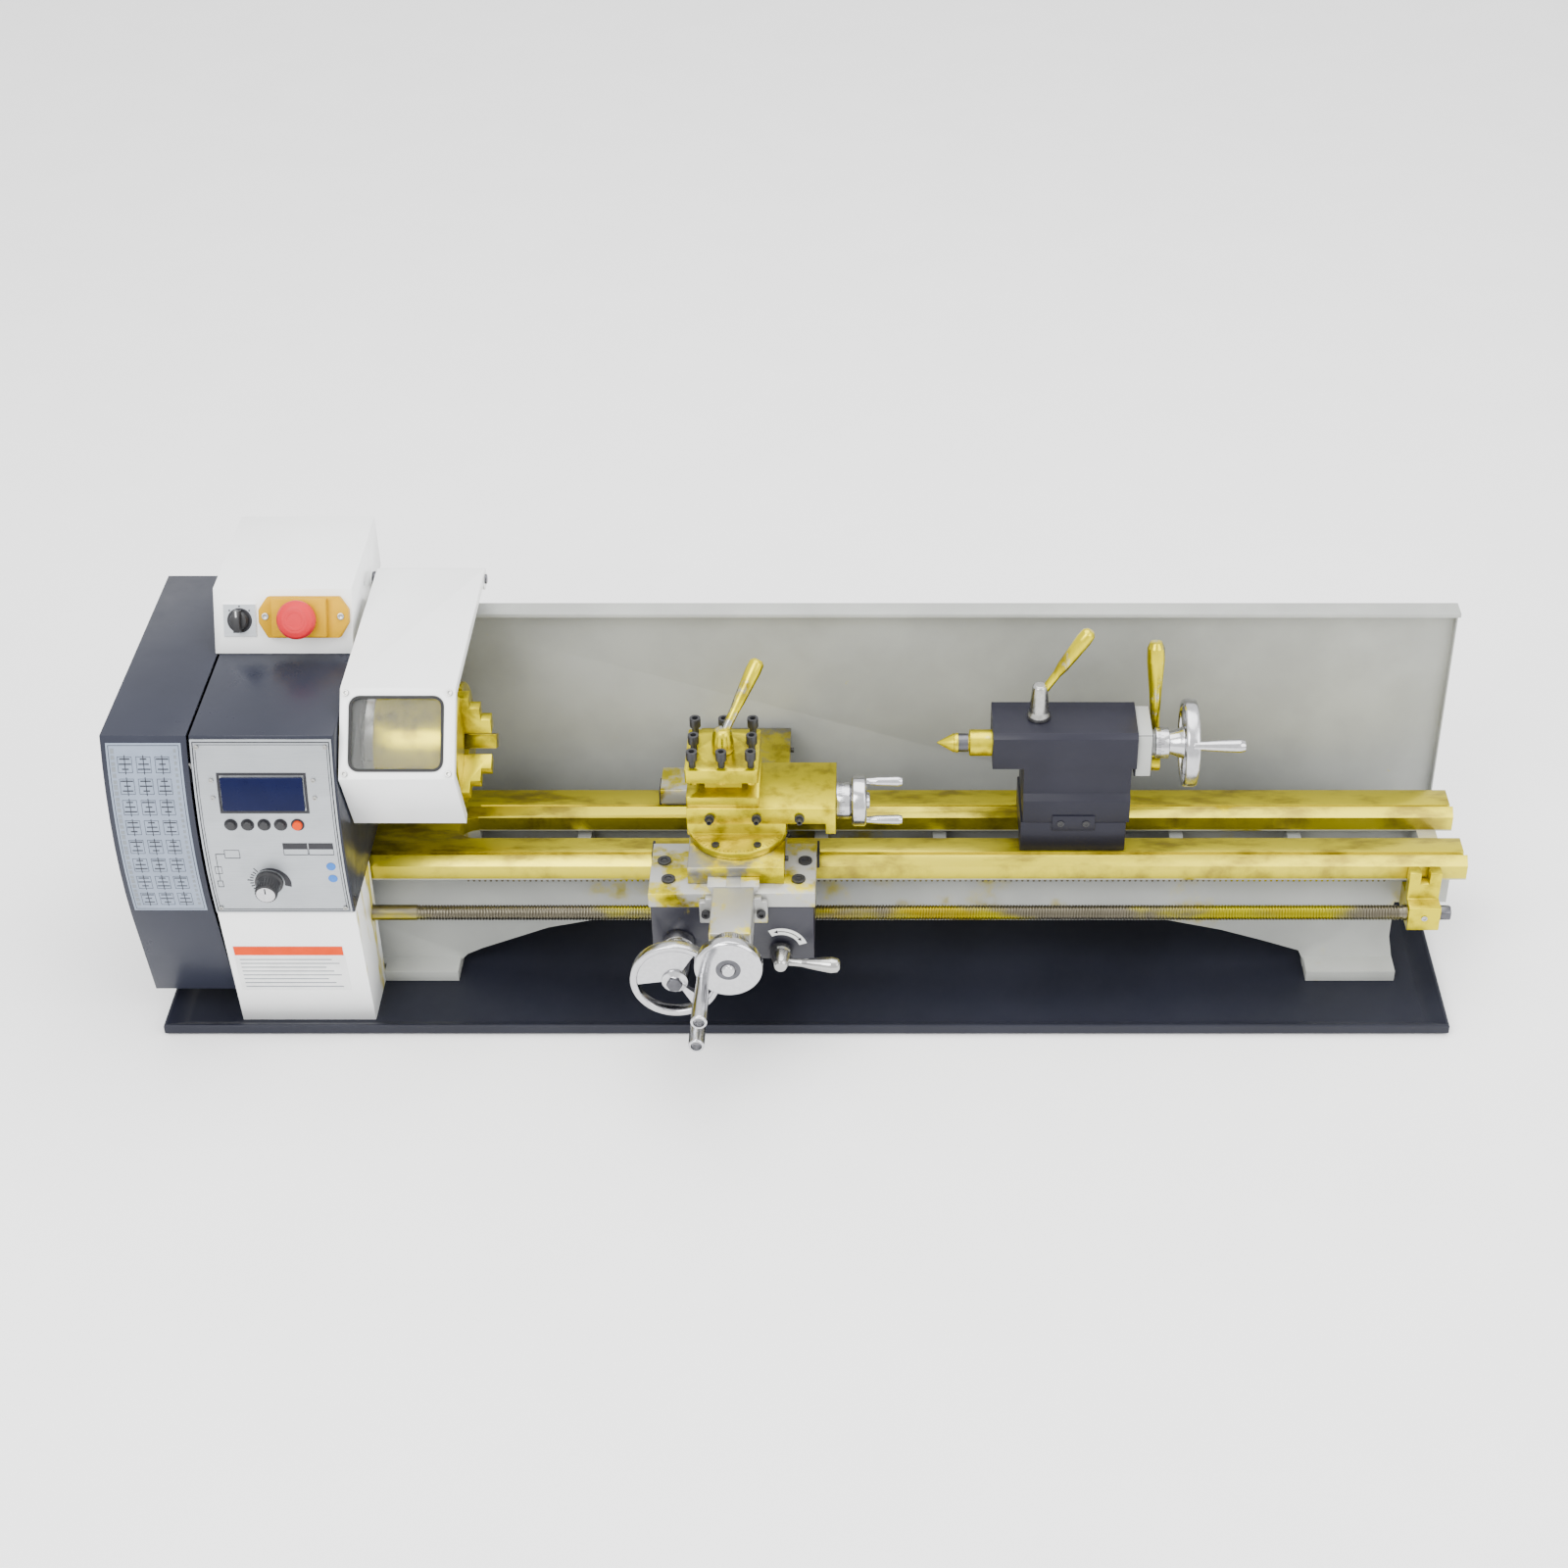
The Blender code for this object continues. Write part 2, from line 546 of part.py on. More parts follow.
def chuck():
    profile = [
        (CHUCK_L, 17), (CHUCK_L, 61), (CHUCK_L + 1.5, CHUCK_R), (-428.8, CHUCK_R), (-428.8, 61.4),
        (-427.6, 61.4), (-427.6, CHUCK_R), (CHUCK_FACE - 2, CHUCK_R), (CHUCK_FACE, 60.5), (CHUCK_FACE, 17),
    ]  # fmt: skip
    body = turned("x", (0, AXIS_Z), profile, 32, True)
    for angle in JAW_ANGLES:
        slot = ((JAW_ROOT, 6), (JAW_ROOT, 70), (-340, 70), (-340, 6))
        cut(body, jaw_block(slot, 7.6, angle))
    finish(body, "chuck_body", "steel", (CHUCK_FACE, 0, AXIS_Z))
    outline = (
        (JAW_ROOT + 0.4, 16), (JAW_ROOT + 0.4, 59), (-338, 59), (-338, 46), (-328, 46), (-328, 32),
        (-318, 32), (-318, 16),
    )  # fmt: skip
    for i, angle in enumerate(JAW_ANGLES):
        lean = math.radians(angle)
        spot = (-340, 38 * math.cos(lean), AXIS_Z + 38 * math.sin(lean))
        finish(jaw_block(outline, 7.2, angle), f"chuck_jaw_{i + 1}", "steel", spot)


def jaw_block(outline, half, angle):
    """A block from an outline in (x, radius), half-width across, turned about the spindle axis."""
    block = prism("y", outline, -half, half)
    turn = Matrix.Rotation(math.radians(angle) - math.pi / 2, 4, "X")
    block.data.transform(Matrix.Translation((0, 0, AXIS_Z * 0.001)) @ turn)
    return block


def guard():
    cover = prism("x", sheet_outline(GUARD_LINE, SHEET), GUARD_L, GUARD_R)
    lip = sheet_outline(GUARD_LINE, 10)
    for low, high in ((GUARD_L, GUARD_L + SHEET), (GUARD_R - SHEET, GUARD_R)):
        add(cover, prism("x", lip, low, high))
        add(cover, turned("x", GUARD_PIVOT, [(low, 0), (low, 11), (high, 11), (high, 0)], 14))
    bend = ((139.5, 364), (141.6, 369), (142, 376), (140, 381), (136, 384), (130, 385))
    back = prism("x", sheet_outline(bend, SHEET), GUARD_L, GUARD_R)
    add(cover, back)
    cut(cover, turned("x", GUARD_PIVOT, [(-460, 0), (-460, 5.4), (-320, 5.4), (-320, 0)], 16))
    top, foot = Vector(GUARD_LINE[1]), Vector(GUARD_LINE[2])
    down = (foot - top).normalized()
    inward = Vector((-down.y, down.x))
    window = []
    for x, v, start in ((-345, 9, 270), (-345, 80, 0), (-434, 80, 90), (-434, 9, 180)):
        cx, cv = x + (9 if x < -400 else -9), v + (9 if v < 40 else -9)
        for step in range(4):
            lean = math.radians(start + 30 * step)
            window.append((cx + 9 * math.cos(lean), cv + 9 * math.sin(lean)))
    ends = [[(x, *(top + down * v + inward * w)) for x, v in window] for w in (-4, 6)]
    cut(cover, slab(ends))
    finish(cover, "chuck_guard", "white", (-388, *GUARD_PIVOT))

    corners = [top + down * v + inward * w for v, w in ((4, 2.4), (84, 2.4), (84, 4.6), (4, 4.6))]
    pane = prism("x", [tuple(c) for c in corners], GUARD_L + 2.5, GUARD_R - 2.5)
    finish(pane, "guard_window", "clear", (-388, *GUARD_PIVOT))
    profile = [(-448.6, 0), (-448.6, 8), (-445, 8), (-445, 5), (-331, 5), (-331, 0)]
    finish(turned("x", GUARD_PIVOT, profile, 16), "guard_rod", "black")


def saddle():
    outline = (
        (-145, 177), (-145, 160.2), (-69.5, 160.2), (-69.5, 149.5), (-66.3, 149.5), (-66.3, 150.4),
        (-57, 159.7), (-48.8, 151.5), (16, 151.5), (16, 160), (39.3, 160), (39.3, 151.5), (72, 151.5),
        (72, 177),
    )  # fmt: skip
    body = prism("x", outline, -155, 11)
    cut(body, box(-156, -119, -62, 30, 140, 178), box(-21, 12, -62, 30, 140, 178))
    cut(body, box(-156, -119, -100, -60, 140, 160.2), box(-21, 12, -100, -60, 140, 160.2))
    rib = ((-91, 176), (-49, 176), (-44, 186), (-96, 186))
    add(body, prism("y", rib, -145, 72))
    cut(body, box(CROSS_X - 7, CROSS_X + 7, -160, 90, 163, 190))
    finish(body, "saddle", "steel")


def apron():
    body = box(-153, 9, -145, -66.6, 94, 159.8)
    cut(body, box(-147, 3, -137, -60, 90, 165))
    cut(body, turned("x", (SCREW_Y, SCREW_Z), [(-170, 0), (-170, 9), (30, 9), (30, 0)], 16))
    for x, z, radius in ((HAND_X, HAND_Z, 9.4), (NUT_X, NUT_Z, 5.4)):
        cut(body, turned("y", (x, z), [(-150, 0), (-150, radius), (-130, radius), (-130, 0)], 16))
    finish(body, "apron", "iron")

    profile = [
        (-212, 0), (-212, 7), (-204, 13), (-204, 36), (-207, 38), (-206, 45), (-196, 45), (-195, 38),
        (-198, 36), (-198, 14), (-145.4, 15), (-145.4, 9), (-113, 9), (-113, 0),
    ]  # fmt: skip
    wheel = turned("y", (HAND_X, HAND_Z), profile, 24)
    for low, high in ((188, 298), (-42, 58)):
        span = [math.radians(low + (high - low) * i / 4) for i in range(5)]
        window = [(HAND_X + 36 * math.cos(a), HAND_Z + 36 * math.sin(a)) for a in span]
        window += [(HAND_X + 15.5 * math.cos(a), HAND_Z + 15.5 * math.sin(a)) for a in reversed(span[1:-1])]
        cut(wheel, prism("y", window, -206, -196))
    add(wheel, gear("y", (HAND_X, HAND_Z), HAND_TEETH, APRON_MODULE, -114, -103))
    x, z = HAND_X + 24, HAND_Z - 26
    add(wheel, rod((x, -203, z), (x, -273, z), (7, 6, 8, 8), 10, (0, 0.2, 0.8, 1)))
    cut(wheel, rod((x, -264, z), (x, -280, z), (5, 5), 8))
    finish(wheel, "apron_handwheel", "alloy", (HAND_X, -200, HAND_Z))

    centre = (SHAFT_X, SHAFT_Z)
    phase = meshing_phase((HAND_X, HAND_Z), HAND_TEETH, 0.0, centre, APRON_TEETH)
    wheel = gear("y", centre, APRON_TEETH, APRON_MODULE, -112, -104, phase)
    add(wheel, turned("y", centre, [(-136.6, 0), (-136.6, 4), (-49, 4), (-49, 0)], 8))
    add(wheel, gear("y", centre, RACK_TEETH, RACK_MODULE, -57, -49, math.pi / 8))
    finish(wheel, "apron_gear", "steel", (centre[0], -90, centre[1]))

    profile = [
        (-174, 0), (-174, 6), (-171, 8), (-156, 11.5), (-148, 11.5), (-145.4, 10), (-145.4, 5),
        (-114, 5), (-114, 0),
    ]  # fmt: skip
    lever = turned("y", (NUT_X, NUT_Z), profile, 14)
    start, end = (NUT_X, -164, NUT_Z), (NUT_X + 60, -172, NUT_Z + 1)
    add(lever, rod(start, end, (4, 4, 8, 8.4, 4), 10, (0, 0.35, 0.78, 0.9, 1)))
    finish(lever, "half_nut_lever", "steel", (NUT_X, -150, NUT_Z))

    for name, low, high, shift in (("upper", 0.3, 13.5, NUT_OPEN), ("lower", -13.5, -0.3, -NUT_OPEN)):
        half = box(-46, -8, -94, -70, SCREW_Z + low, SCREW_Z + high)
        cut(half, turned("x", (SCREW_Y, SCREW_Z), [(-60, 0), (-60, 8.4), (10, 8.4), (10, 0)], 20))
        half.data.transform(Matrix.Translation((0, 0, shift * 0.001)))
        finish(half, f"half_nut_{name}", "steel", (-27, SCREW_Y, SCREW_Z + shift))


def cross_slide():
    body = box(-116, -20, -129, 117, 177.4, 197)
    channel = ((-91.8, 170), (-91.8, 177.4), (-96.6, 186.5), (-43.4, 186.5), (-48.2, 177.4), (-48.2, 170))
    cut(body, prism("y", channel, -140, 130))
    nut = box(CROSS_X - 6.2, CROSS_X + 6.2, -30, 5, 163.4, 188)
    cut(nut, turned("y", (CROSS_X, CROSS_Z), [(-40, 0), (-40, 4.9), (50, 4.9), (50, 0)], 12))
    finish(add(body, nut), "cross_slide", "greased")

    housing = box(-90.5, -49.5, -218, -145.4, 150, 185.6)
    add(housing, box(-104, -36, -153, -145.4, 146, 172), box(-98, -42, -153, -145.4, 150, 176.8))
    cut(housing, turned("y", (CROSS_X, CROSS_Z), [(-230, 0), (-230, 5.2), (-120, 5.2), (-120, 0)], 12))
    finish(housing, "cross_housing", "grey")

    profile = [
        (-258, 0), (-258, 6), (-254.5, 7), (-254.5, 31), (-252, 33), (-244, 33), (-242, 31),
        (-240, 21), (-221, 21), (-218.6, 19), (-218.6, 4.5), (66, 4.5), (66, 0),
    ]  # fmt: skip
    wheel = turned("y", (CROSS_X, CROSS_Z), profile, 24)
    x, z = CROSS_X - 25, CROSS_Z - 11
    grip = rod((x, -250, z), (x, -319, z), (7, 6, 8, 8), 10, (0, 0.2, 0.8, 1))
    add(wheel, grip)
    cut(wheel, rod((x, -310, z), (x, -325, z), (5, 5), 8))
    finish(wheel, "cross_handwheel", "alloy", (CROSS_X, -240, CROSS_Z))


def compound():
    base = turned("z", SWIVEL, [(197.3, 0), (197.3, 50), (205, 50), (205, 0)], 32)
    block = box(-118, -19, -83, -7, 204, 219)
    rib = ((TOP_Y - 19, 218), (TOP_Y + 19, 218), (TOP_Y + 24, 228), (TOP_Y - 24, 228))
    add(base, add(block, prism("x", rib, -118, -19)))
    cut(base, box(-130, -64, TOP_Y - 7, TOP_Y + 7, 214, 230), box(-42, -10, TOP_Y - 7, TOP_Y + 7, 214, 230))
    cut(base, turned("x", (TOP_Y, TOP_Z), [(-80, 0), (-80, 4.9), (-30, 4.9), (-30, 0)], 12))
    finish(base, "swivel_base", "greased", (*SWIVEL, 200))

    slide = box(-118, 31, -86, -5, 219.4, 238)
    channel = (
        (TOP_Y - 19.8, 210), (TOP_Y + 19.8, 210), (TOP_Y + 19.8, 219.4), (TOP_Y + 24.6, 228.5),
        (TOP_Y - 24.6, 228.5), (TOP_Y - 19.8, 219.4),
    )  # fmt: skip
    cut(slide, prism("x", channel, -125, 21))
    add(slide, box(21, 31, -86, -5, 207, 221))
    cut(slide, turned("x", (TOP_Y, TOP_Z), [(10, 0), (10, 5), (40, 5), (40, 0)], 12))
    finish(slide, "top_slide", "greased", (-40, -45, 228))

    profile = [
        (-100, 0), (-100, 4.5), (31.4, 4.5), (31.4, 19), (45, 19), (46, 24), (48, 26), (60, 26),
        (62, 24), (62, 9), (65, 8), (65, 0),
    ]  # fmt: skip
    wheel = turned("x", (TOP_Y, TOP_Z), profile, 20)
    for sign in (1, -1):
        y, z = TOP_Y + sign * 7, TOP_Z + sign * 19
        add(wheel, rod((58, y, z), (98, y, z), (3.6, 5.2, 4), 8, (0, 0.9, 1)))
    finish(wheel, "top_handwheel", "alloy", (40, TOP_Y, TOP_Z))

    half, nick = 36.5, 1.5
    outline = []
    for sx, sy in ((1, 1), (-1, 1), (-1, -1), (1, -1)):
        near, far = (half - nick, half) if sx * sy > 0 else (half, half - nick)
        outline.append((POST[0] + sx * far, POST[1] + sy * near))
        outline.append((POST[0] + sx * near, POST[1] + sy * far))
    post = prism("z", outline, 238.4, 282.5)
    for sx, sy in ((1, 0), (-1, 0), (0, 1), (0, -1)):
        x, y = POST[0] + sx * 40, POST[1] + sy * 40
        reach = (21.5, 60) if sx else (60, 21.5)
        cut(post, box(x - reach[0], x + reach[0], y - reach[1], y + reach[1], 249.5, 267.5))
    for x in (-29, 0, 29):
        for y in (-29, 0, 29):
            if x or y:
                bolt = [(262, 0), (262, 3.6), (293, 3.6), (293, 5.8), (302, 5.8), (302, 0)]
                add(post, turned("z", (POST[0] + x, POST[1] + y), bolt, 6))
    finish(post, "tool_post", "greased", (*POST, 260))

    hub = [(282.9, 0), (282.9, 11), (294, 11), (304, 9.5), (308, 6), (308, 0)]
    hub = turned("z", POST, hub, 14)
    start, end = (POST[0], POST[1], 299), (POST[0] + 36, POST[1] + 43, 362)
    add(hub, rod(start, end, (4, 4, 7, 7, 3), 10, (0, 0.4, 0.86, 0.96, 1)))
    finish(hub, "tool_post_lever", "greased", (*POST, 290))


def tailstock():
    outline = (
        (-40, 151.4), (-16, 151.4), (-12, 156), (12, 156), (19, 151.4), (27, 159.4), (35, 151.4),
        (42, 151.4), (42, 187), (-40, 187),
    )  # fmt: skip
    base = prism("x", outline, 219, 327)
    add(base, box(262, 284, -8, 8, 126, 157), box(240, 306, -28, 28, 124.4, 132.5))
    finish(base, "tailstock_base", "iron")

    body = prism("x", ((-33, 210), (-33, 284), (-28, 290), (28, 290), (33, 284), (33, 210)), 221, 330)
    head = ((-33, 249), (-33, 285), (-28, 290), (28, 290), (33, 285), (33, 249))
    add(body, prism("x", head, 189, 335))
    foot = ((-40, 187.4), (42, 187.4), (42, 213), (33, 219), (-33, 219), (-40, 214))
    add(body, prism("x", foot, 221, 330), box(333, 350, -27, 27, 236, 286))
    cut(body, turned("x", (0, AXIS_Z), [(180, 0), (180, 14.3), (336, 14.3), (336, 0)], 18))
    cut(body, turned("x", (0, AXIS_Z), [(330, 0), (330, 6.8), (360, 6.8), (360, 0)], 16))
    cut(body, turned("x", (CLAMP_Y, CLAMP_Z), [(296, 0), (296, 6.9), (360, 6.9), (360, 0)], 16))
    finish(body, "tailstock_body", "slate")

    profile = [
        (166, 8.4), (166, 12.5), (167.2, 13.7), (300, 13.7), (300, 6.7), (232, 6.7), (232, 8.4),
    ]  # fmt: skip
    finish(turned("x", (0, AXIS_Z), profile, 18, True), "quill", "steel", (190, 0, AXIS_Z))
    profile = [
        (133, 0), (150, 10), (150, 8), (165, 8), (228, 8), (228, 0),
    ]  # fmt: skip
    finish(turned("x", (0, AXIS_Z), profile, 16), "centre", "steel", (150, 0, AXIS_Z))

    profile = [
        (238, 0), (238, 6.2), (350.4, 6.2), (350.4, 14), (355, 16), (369, 16), (369, 11), (384, 17),
        (385, 40), (383, 45), (397, 45), (391, 40), (390, 14), (400, 11), (402, 0),
    ]  # fmt: skip
    wheel = turned("x", (0, AXIS_Z), profile, 24)
    for middle in (-30, 90, 210):
        span = [math.radians(middle - 38 + 76 * i / 3) for i in range(4)]
        window = [(37 * math.cos(a), AXIS_Z + 37 * math.sin(a)) for a in span]
        window += [(18 * math.cos(a), AXIS_Z + 18 * math.sin(a)) for a in reversed(span[1:-1])]
        cut(wheel, prism("x", window, 380, 395))
    y, z = -35.4, AXIS_Z + 20.5
    add(wheel, rod((390, y, z), (442, y, z), (5.5, 5.5, 7, 6.4), 10, (0, 0.25, 0.94, 1)))
    finish(wheel, "tail_handwheel", "alloy", (362, 0, AXIS_Z))

    lock = [(290.4, 0), (290.4, 12), (296, 12), (300, 10), (328, 7.5), (330, 0)]
    lock = turned("z", (236, 0), lock, 14)
    end = (285, 9, 388)
    add(lock, rod((236, 0, 316), end, (3.6, 3.8, 6.4, 6.4, 3), 10, (0, 0.4, 0.88, 0.96, 1)))
    finish(lock, "quill_lock", "steel", (236, 0, 300))

    profile = [(300, 0), (300, 6.5), (351, 6.5), (351, 10), (364, 10), (364, 0)]
    clamp = turned("x", (CLAMP_Y, CLAMP_Z), profile, 16)
    start, end = (358.5, CLAMP_Y, CLAMP_Z), (355, 45, 352)
    add(clamp, rod(start, end, (4.4, 4.4, 7.6, 8, 4), 10, (0, 0.5, 0.84, 0.95, 1)))
    finish(clamp, "clamp_lever", "steel", (358, CLAMP_Y, CLAMP_Z))


for leftover in list(bpy.data.objects):
    bpy.data.objects.remove(leftover)
tray()
back_splash()
bed()
rack()
headstock()
control_panel()
gear_cover()
electrics()
drive()
gear_train()
chuck()
guard()
saddle()
apron()
cross_slide()
compound()
tailstock()
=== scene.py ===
"""The looks of the bench lathe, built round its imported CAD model. Lengths are in millimetres unless a
name ends in _m or _M; X runs along the bed, Y away from the operator, Z up, as in the CAD."""

import json
import math
import random

import bmesh
import bpy
from mathutils import Matrix, Vector


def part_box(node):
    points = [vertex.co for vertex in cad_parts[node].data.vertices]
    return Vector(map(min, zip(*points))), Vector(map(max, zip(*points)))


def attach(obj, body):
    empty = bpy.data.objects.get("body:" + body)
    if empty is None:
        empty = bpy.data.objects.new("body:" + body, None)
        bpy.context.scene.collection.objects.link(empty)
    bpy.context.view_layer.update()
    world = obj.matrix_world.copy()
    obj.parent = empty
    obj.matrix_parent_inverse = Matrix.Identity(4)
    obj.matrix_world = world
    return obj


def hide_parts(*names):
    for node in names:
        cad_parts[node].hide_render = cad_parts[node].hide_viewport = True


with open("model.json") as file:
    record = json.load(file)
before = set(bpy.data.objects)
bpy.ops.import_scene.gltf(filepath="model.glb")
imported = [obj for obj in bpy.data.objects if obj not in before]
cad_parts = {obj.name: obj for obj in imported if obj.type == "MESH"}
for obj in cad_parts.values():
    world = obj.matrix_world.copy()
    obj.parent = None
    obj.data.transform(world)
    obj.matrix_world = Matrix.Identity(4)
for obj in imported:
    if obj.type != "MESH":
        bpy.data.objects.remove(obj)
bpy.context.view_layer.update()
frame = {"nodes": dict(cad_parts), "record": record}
random.seed(7)

AXIS_Z = 259.0
LEADSCREW = (-81.0, 102.5)
CURVE = ((-135.0, 361.0), (-157.5, 240.0), (-152.0, 158.0))
FACE_FOOT, FACE_HEAD = Vector((8.0, 361.5)), Vector((37.0, 420.0))
HAND, CROSS, TOP = (-127.0, 115.0), (-70.0, 170.0), (-48.0, 221.0)
NUT_LEVER, POST, CLAMP = (-24.0, 106.0), (-81.5, -46.5), (20.0, 222.0)
KEY_X, KEY_Z = (-552.0, -536.0, -520.0, -504.0, -487.5), 271.0
KNOB = (-524.0, 203.0)
STOP = (-499.0, 37.0)
GUARD_SLOPE = (Vector((-89.0, 385.0)), Vector((-147.0, 318.0)))
GUARD_PIVOT = (131.0, 374.0)
SELECTOR = (-562.0, 33.5)
SPINDLE = (0.0, AXIS_Z)
CHUCK_SKIN = (61.2, 62.7)
CABINET_FOOT = (-134.0, 3.3)
CABINET_LEAN = 18 / 156.3
CABINET_END_M = -0.447
PRINT = (1.4, 1.62)
FLOOR_HALF = 9000.0
CAMERA_PLACE_M, CAMERA_TILT = (0.0804, -2.1577, 1.7592), 54.27
LENS, SENSOR, SHIFT_X = 59.2, 36.0, -0.0644

WHITE = (0.84, 0.85, 0.845)
CAST_GREY = (0.34, 0.35, 0.33)
SPLASH_GREY = (0.32, 0.33, 0.31)
SLATE = (0.018, 0.020, 0.031)
NAVY = (0.011, 0.012, 0.020)
IRON = (0.011, 0.011, 0.019)
GREASE = (0.58, 0.49, 0.0)
GREASE_DARK = (0.26, 0.20, 0.0)
STEEL = (0.36, 0.36, 0.345)
ALLOY = (0.48, 0.48, 0.495)


# Materials: every one is procedural, on object coordinates, which are metres in the frame.


class Graph:
    """A new material with a Principled shader, and short calls for the nodes that drive it."""

    def __init__(self, name, rough, metal, coat=0.0):
        self.material = bpy.data.materials.new(name)
        self.material.use_nodes = True
        self.tree = self.material.node_tree
        self.shader = self.tree.nodes["Principled BSDF"]
        self.shader.inputs["Roughness"].default_value = rough
        self.shader.inputs["Metallic"].default_value = metal
        self.shader.inputs["Coat Weight"].default_value = coat
        self.shader.inputs["Coat Roughness"].default_value = 0.12
        self.coords = self.tree.nodes.new("ShaderNodeTexCoord").outputs["Object"]

    def link(self, output, node, name):
        self.tree.links.new(output, node.inputs[name])

    def noise(self, scale, detail=3.0, stretch=(1, 1, 1), rough=0.55):
        mapping = self.tree.nodes.new("ShaderNodeMapping")
        mapping.inputs["Scale"].default_value = stretch
        self.link(self.coords, mapping, "Vector")
        texture = self.tree.nodes.new("ShaderNodeTexNoise")
        texture.inputs["Scale"].default_value = scale
        texture.inputs["Detail"].default_value = detail
        texture.inputs["Roughness"].default_value = rough
        self.link(mapping.outputs["Vector"], texture, "Vector")
        return texture.outputs["Fac"]

    def remap(self, source, low, high, to_low=0.0, to_high=1.0):
        node = self.tree.nodes.new("ShaderNodeMapRange")
        node.interpolation_type = "SMOOTHSTEP"
        for name, value in (("From Min", low), ("From Max", high), ("To Min", to_low), ("To Max", to_high)):
            node.inputs[name].default_value = value
        self.link(source, node, "Value")
        return node.outputs["Result"]

    def height(self, low, high, axis="Z"):
        """0 below low metres, 1 above high metres along an axis."""
        split = self.tree.nodes.new("ShaderNodeSeparateXYZ")
        self.link(self.coords, split, "Vector")
        return self.remap(split.outputs[axis], low, high)

    def maths(self, operation, one, two):
        node = self.tree.nodes.new("ShaderNodeMath")
        node.operation = operation
        node.use_clamp = True
        for i, value in enumerate((one, two)):
            if isinstance(value, (int, float)):
                node.inputs[i].default_value = value
            else:
                self.tree.links.new(value, node.inputs[i])
        return node.outputs["Value"]

    def blend(self, factor, one, two):
        node = self.tree.nodes.new("ShaderNodeMix")
        node.data_type = "RGBA"
        self.tree.links.new(factor, node.inputs["Factor"])
        colours = [s for s in node.inputs if s.type == "RGBA"]
        for socket, value in zip(colours, (one, two)):
            if isinstance(value, tuple):
                socket.default_value = (*value, 1)
            else:
                self.tree.links.new(value, socket)
        return [s for s in node.outputs if s.type == "RGBA"][0]

    def colour(self, output):
        self.link(output, self.shader, "Base Color")

    def rough(self, output):
        self.link(output, self.shader, "Roughness")

    def metal(self, output):
        self.link(output, self.shader, "Metallic")

    def bump(self, output, strength, distance_m):
        node = self.tree.nodes.new("ShaderNodeBump")
        node.inputs["Strength"].default_value = strength
        node.inputs["Distance"].default_value = distance_m
        self.link(output, node, "Height")
        self.link(node.outputs["Normal"], self.shader, "Normal")


def shade(colour, factor):
    return tuple(min(1.0, c * factor) for c in colour)


def paint(name, colour, rough=0.35, vary=0.07, coat=0.3, orange_peel=0.06, gloss=0.5):
    """Enamel or powder coat: slight tone changes, an orange-peel surface and uneven gloss."""
    g = Graph(name, rough, 0.0, coat)
    g.shader.inputs["Specular IOR Level"].default_value = gloss
    tone = g.noise(7.0, 4.0)
    g.colour(g.blend(g.remap(tone, 0.3, 0.7), shade(colour, 1 - vary), shade(colour, 1 + vary)))
    g.rough(g.remap(g.noise(24.0, 5.0), 0.25, 0.8, rough - 0.06, rough + 0.09))
    g.bump(g.noise(900.0, 2.0), orange_peel, 0.0004)
    return g.material


def metal(name, colour, rough=0.25, stretch=(1, 1, 1), vary=0.1, scale=160.0, bump=0.05):
    """Machined metal: fine tool marks along one direction and patches of duller surface."""
    g = Graph(name, rough, 1.0)
    marks = g.noise(scale, 4.0, stretch)
    g.colour(g.blend(g.remap(marks, 0.3, 0.7), shade(colour, 1 - vary), shade(colour, 1 + vary)))
    g.rough(g.remap(g.noise(30.0, 4.0), 0.3, 0.75, rough - 0.05, rough + 0.13))
    g.bump(marks, bump, 0.0003)
    return g.material


def greased(name, under, cover=0.5, under_metal=1.0, stretch=(1, 1, 1), scale=26.0, under_rough=0.3,
            top_m=None, colour=GREASE):  # fmt: skip
    """Rust-preventive grease over a surface: cover is its share of it, and all above top_m is greased."""
    g = Graph(name, under_rough, under_metal)
    patches = g.remap(g.noise(scale, 5.0, stretch, 0.62), 1.0 - cover - 0.06, 1.0 - cover + 0.07)
    if top_m is not None:
        upper = g.height(top_m - 0.0015, top_m + 0.001)
        patches = g.maths("MAXIMUM", patches, g.maths("MULTIPLY", upper, 0.93))
    film = g.noise(38.0, 6.0, stretch, 0.6)
    grease = g.blend(g.remap(film, 0.3, 0.56), GREASE_DARK, colour)
    base = g.blend(g.remap(g.noise(12.0, 4.0), 0.3, 0.7), shade(under, 0.9), shade(under, 1.07))
    g.colour(g.blend(patches, base, grease))
    g.rough(g.blend(patches, (under_rough,) * 3, (0.3, 0.3, 0.3)))
    g.metal(g.blend(patches, (under_metal,) * 3, (0.92, 0.92, 0.92)))
    g.bump(g.noise(70.0, 6.0, stretch), 0.16, 0.0012)
    return g.material


def plastic(name, colour, rough=0.35, coat=0.1, gloss=0.3):
    """Moulded plastic, print or film: a fine grain and slight tone changes."""
    g = Graph(name, rough, 0.0, coat)
    g.shader.inputs["Specular IOR Level"].default_value = gloss
    g.colour(g.blend(g.remap(g.noise(40.0), 0.3, 0.7), shade(colour, 0.93), shade(colour, 1.05)))
    g.rough(g.remap(g.noise(90.0, 4.0), 0.3, 0.7, rough - 0.04, rough + 0.08))
    g.bump(g.noise(1400.0, 2.0), 0.05, 0.0003)
    return g.material


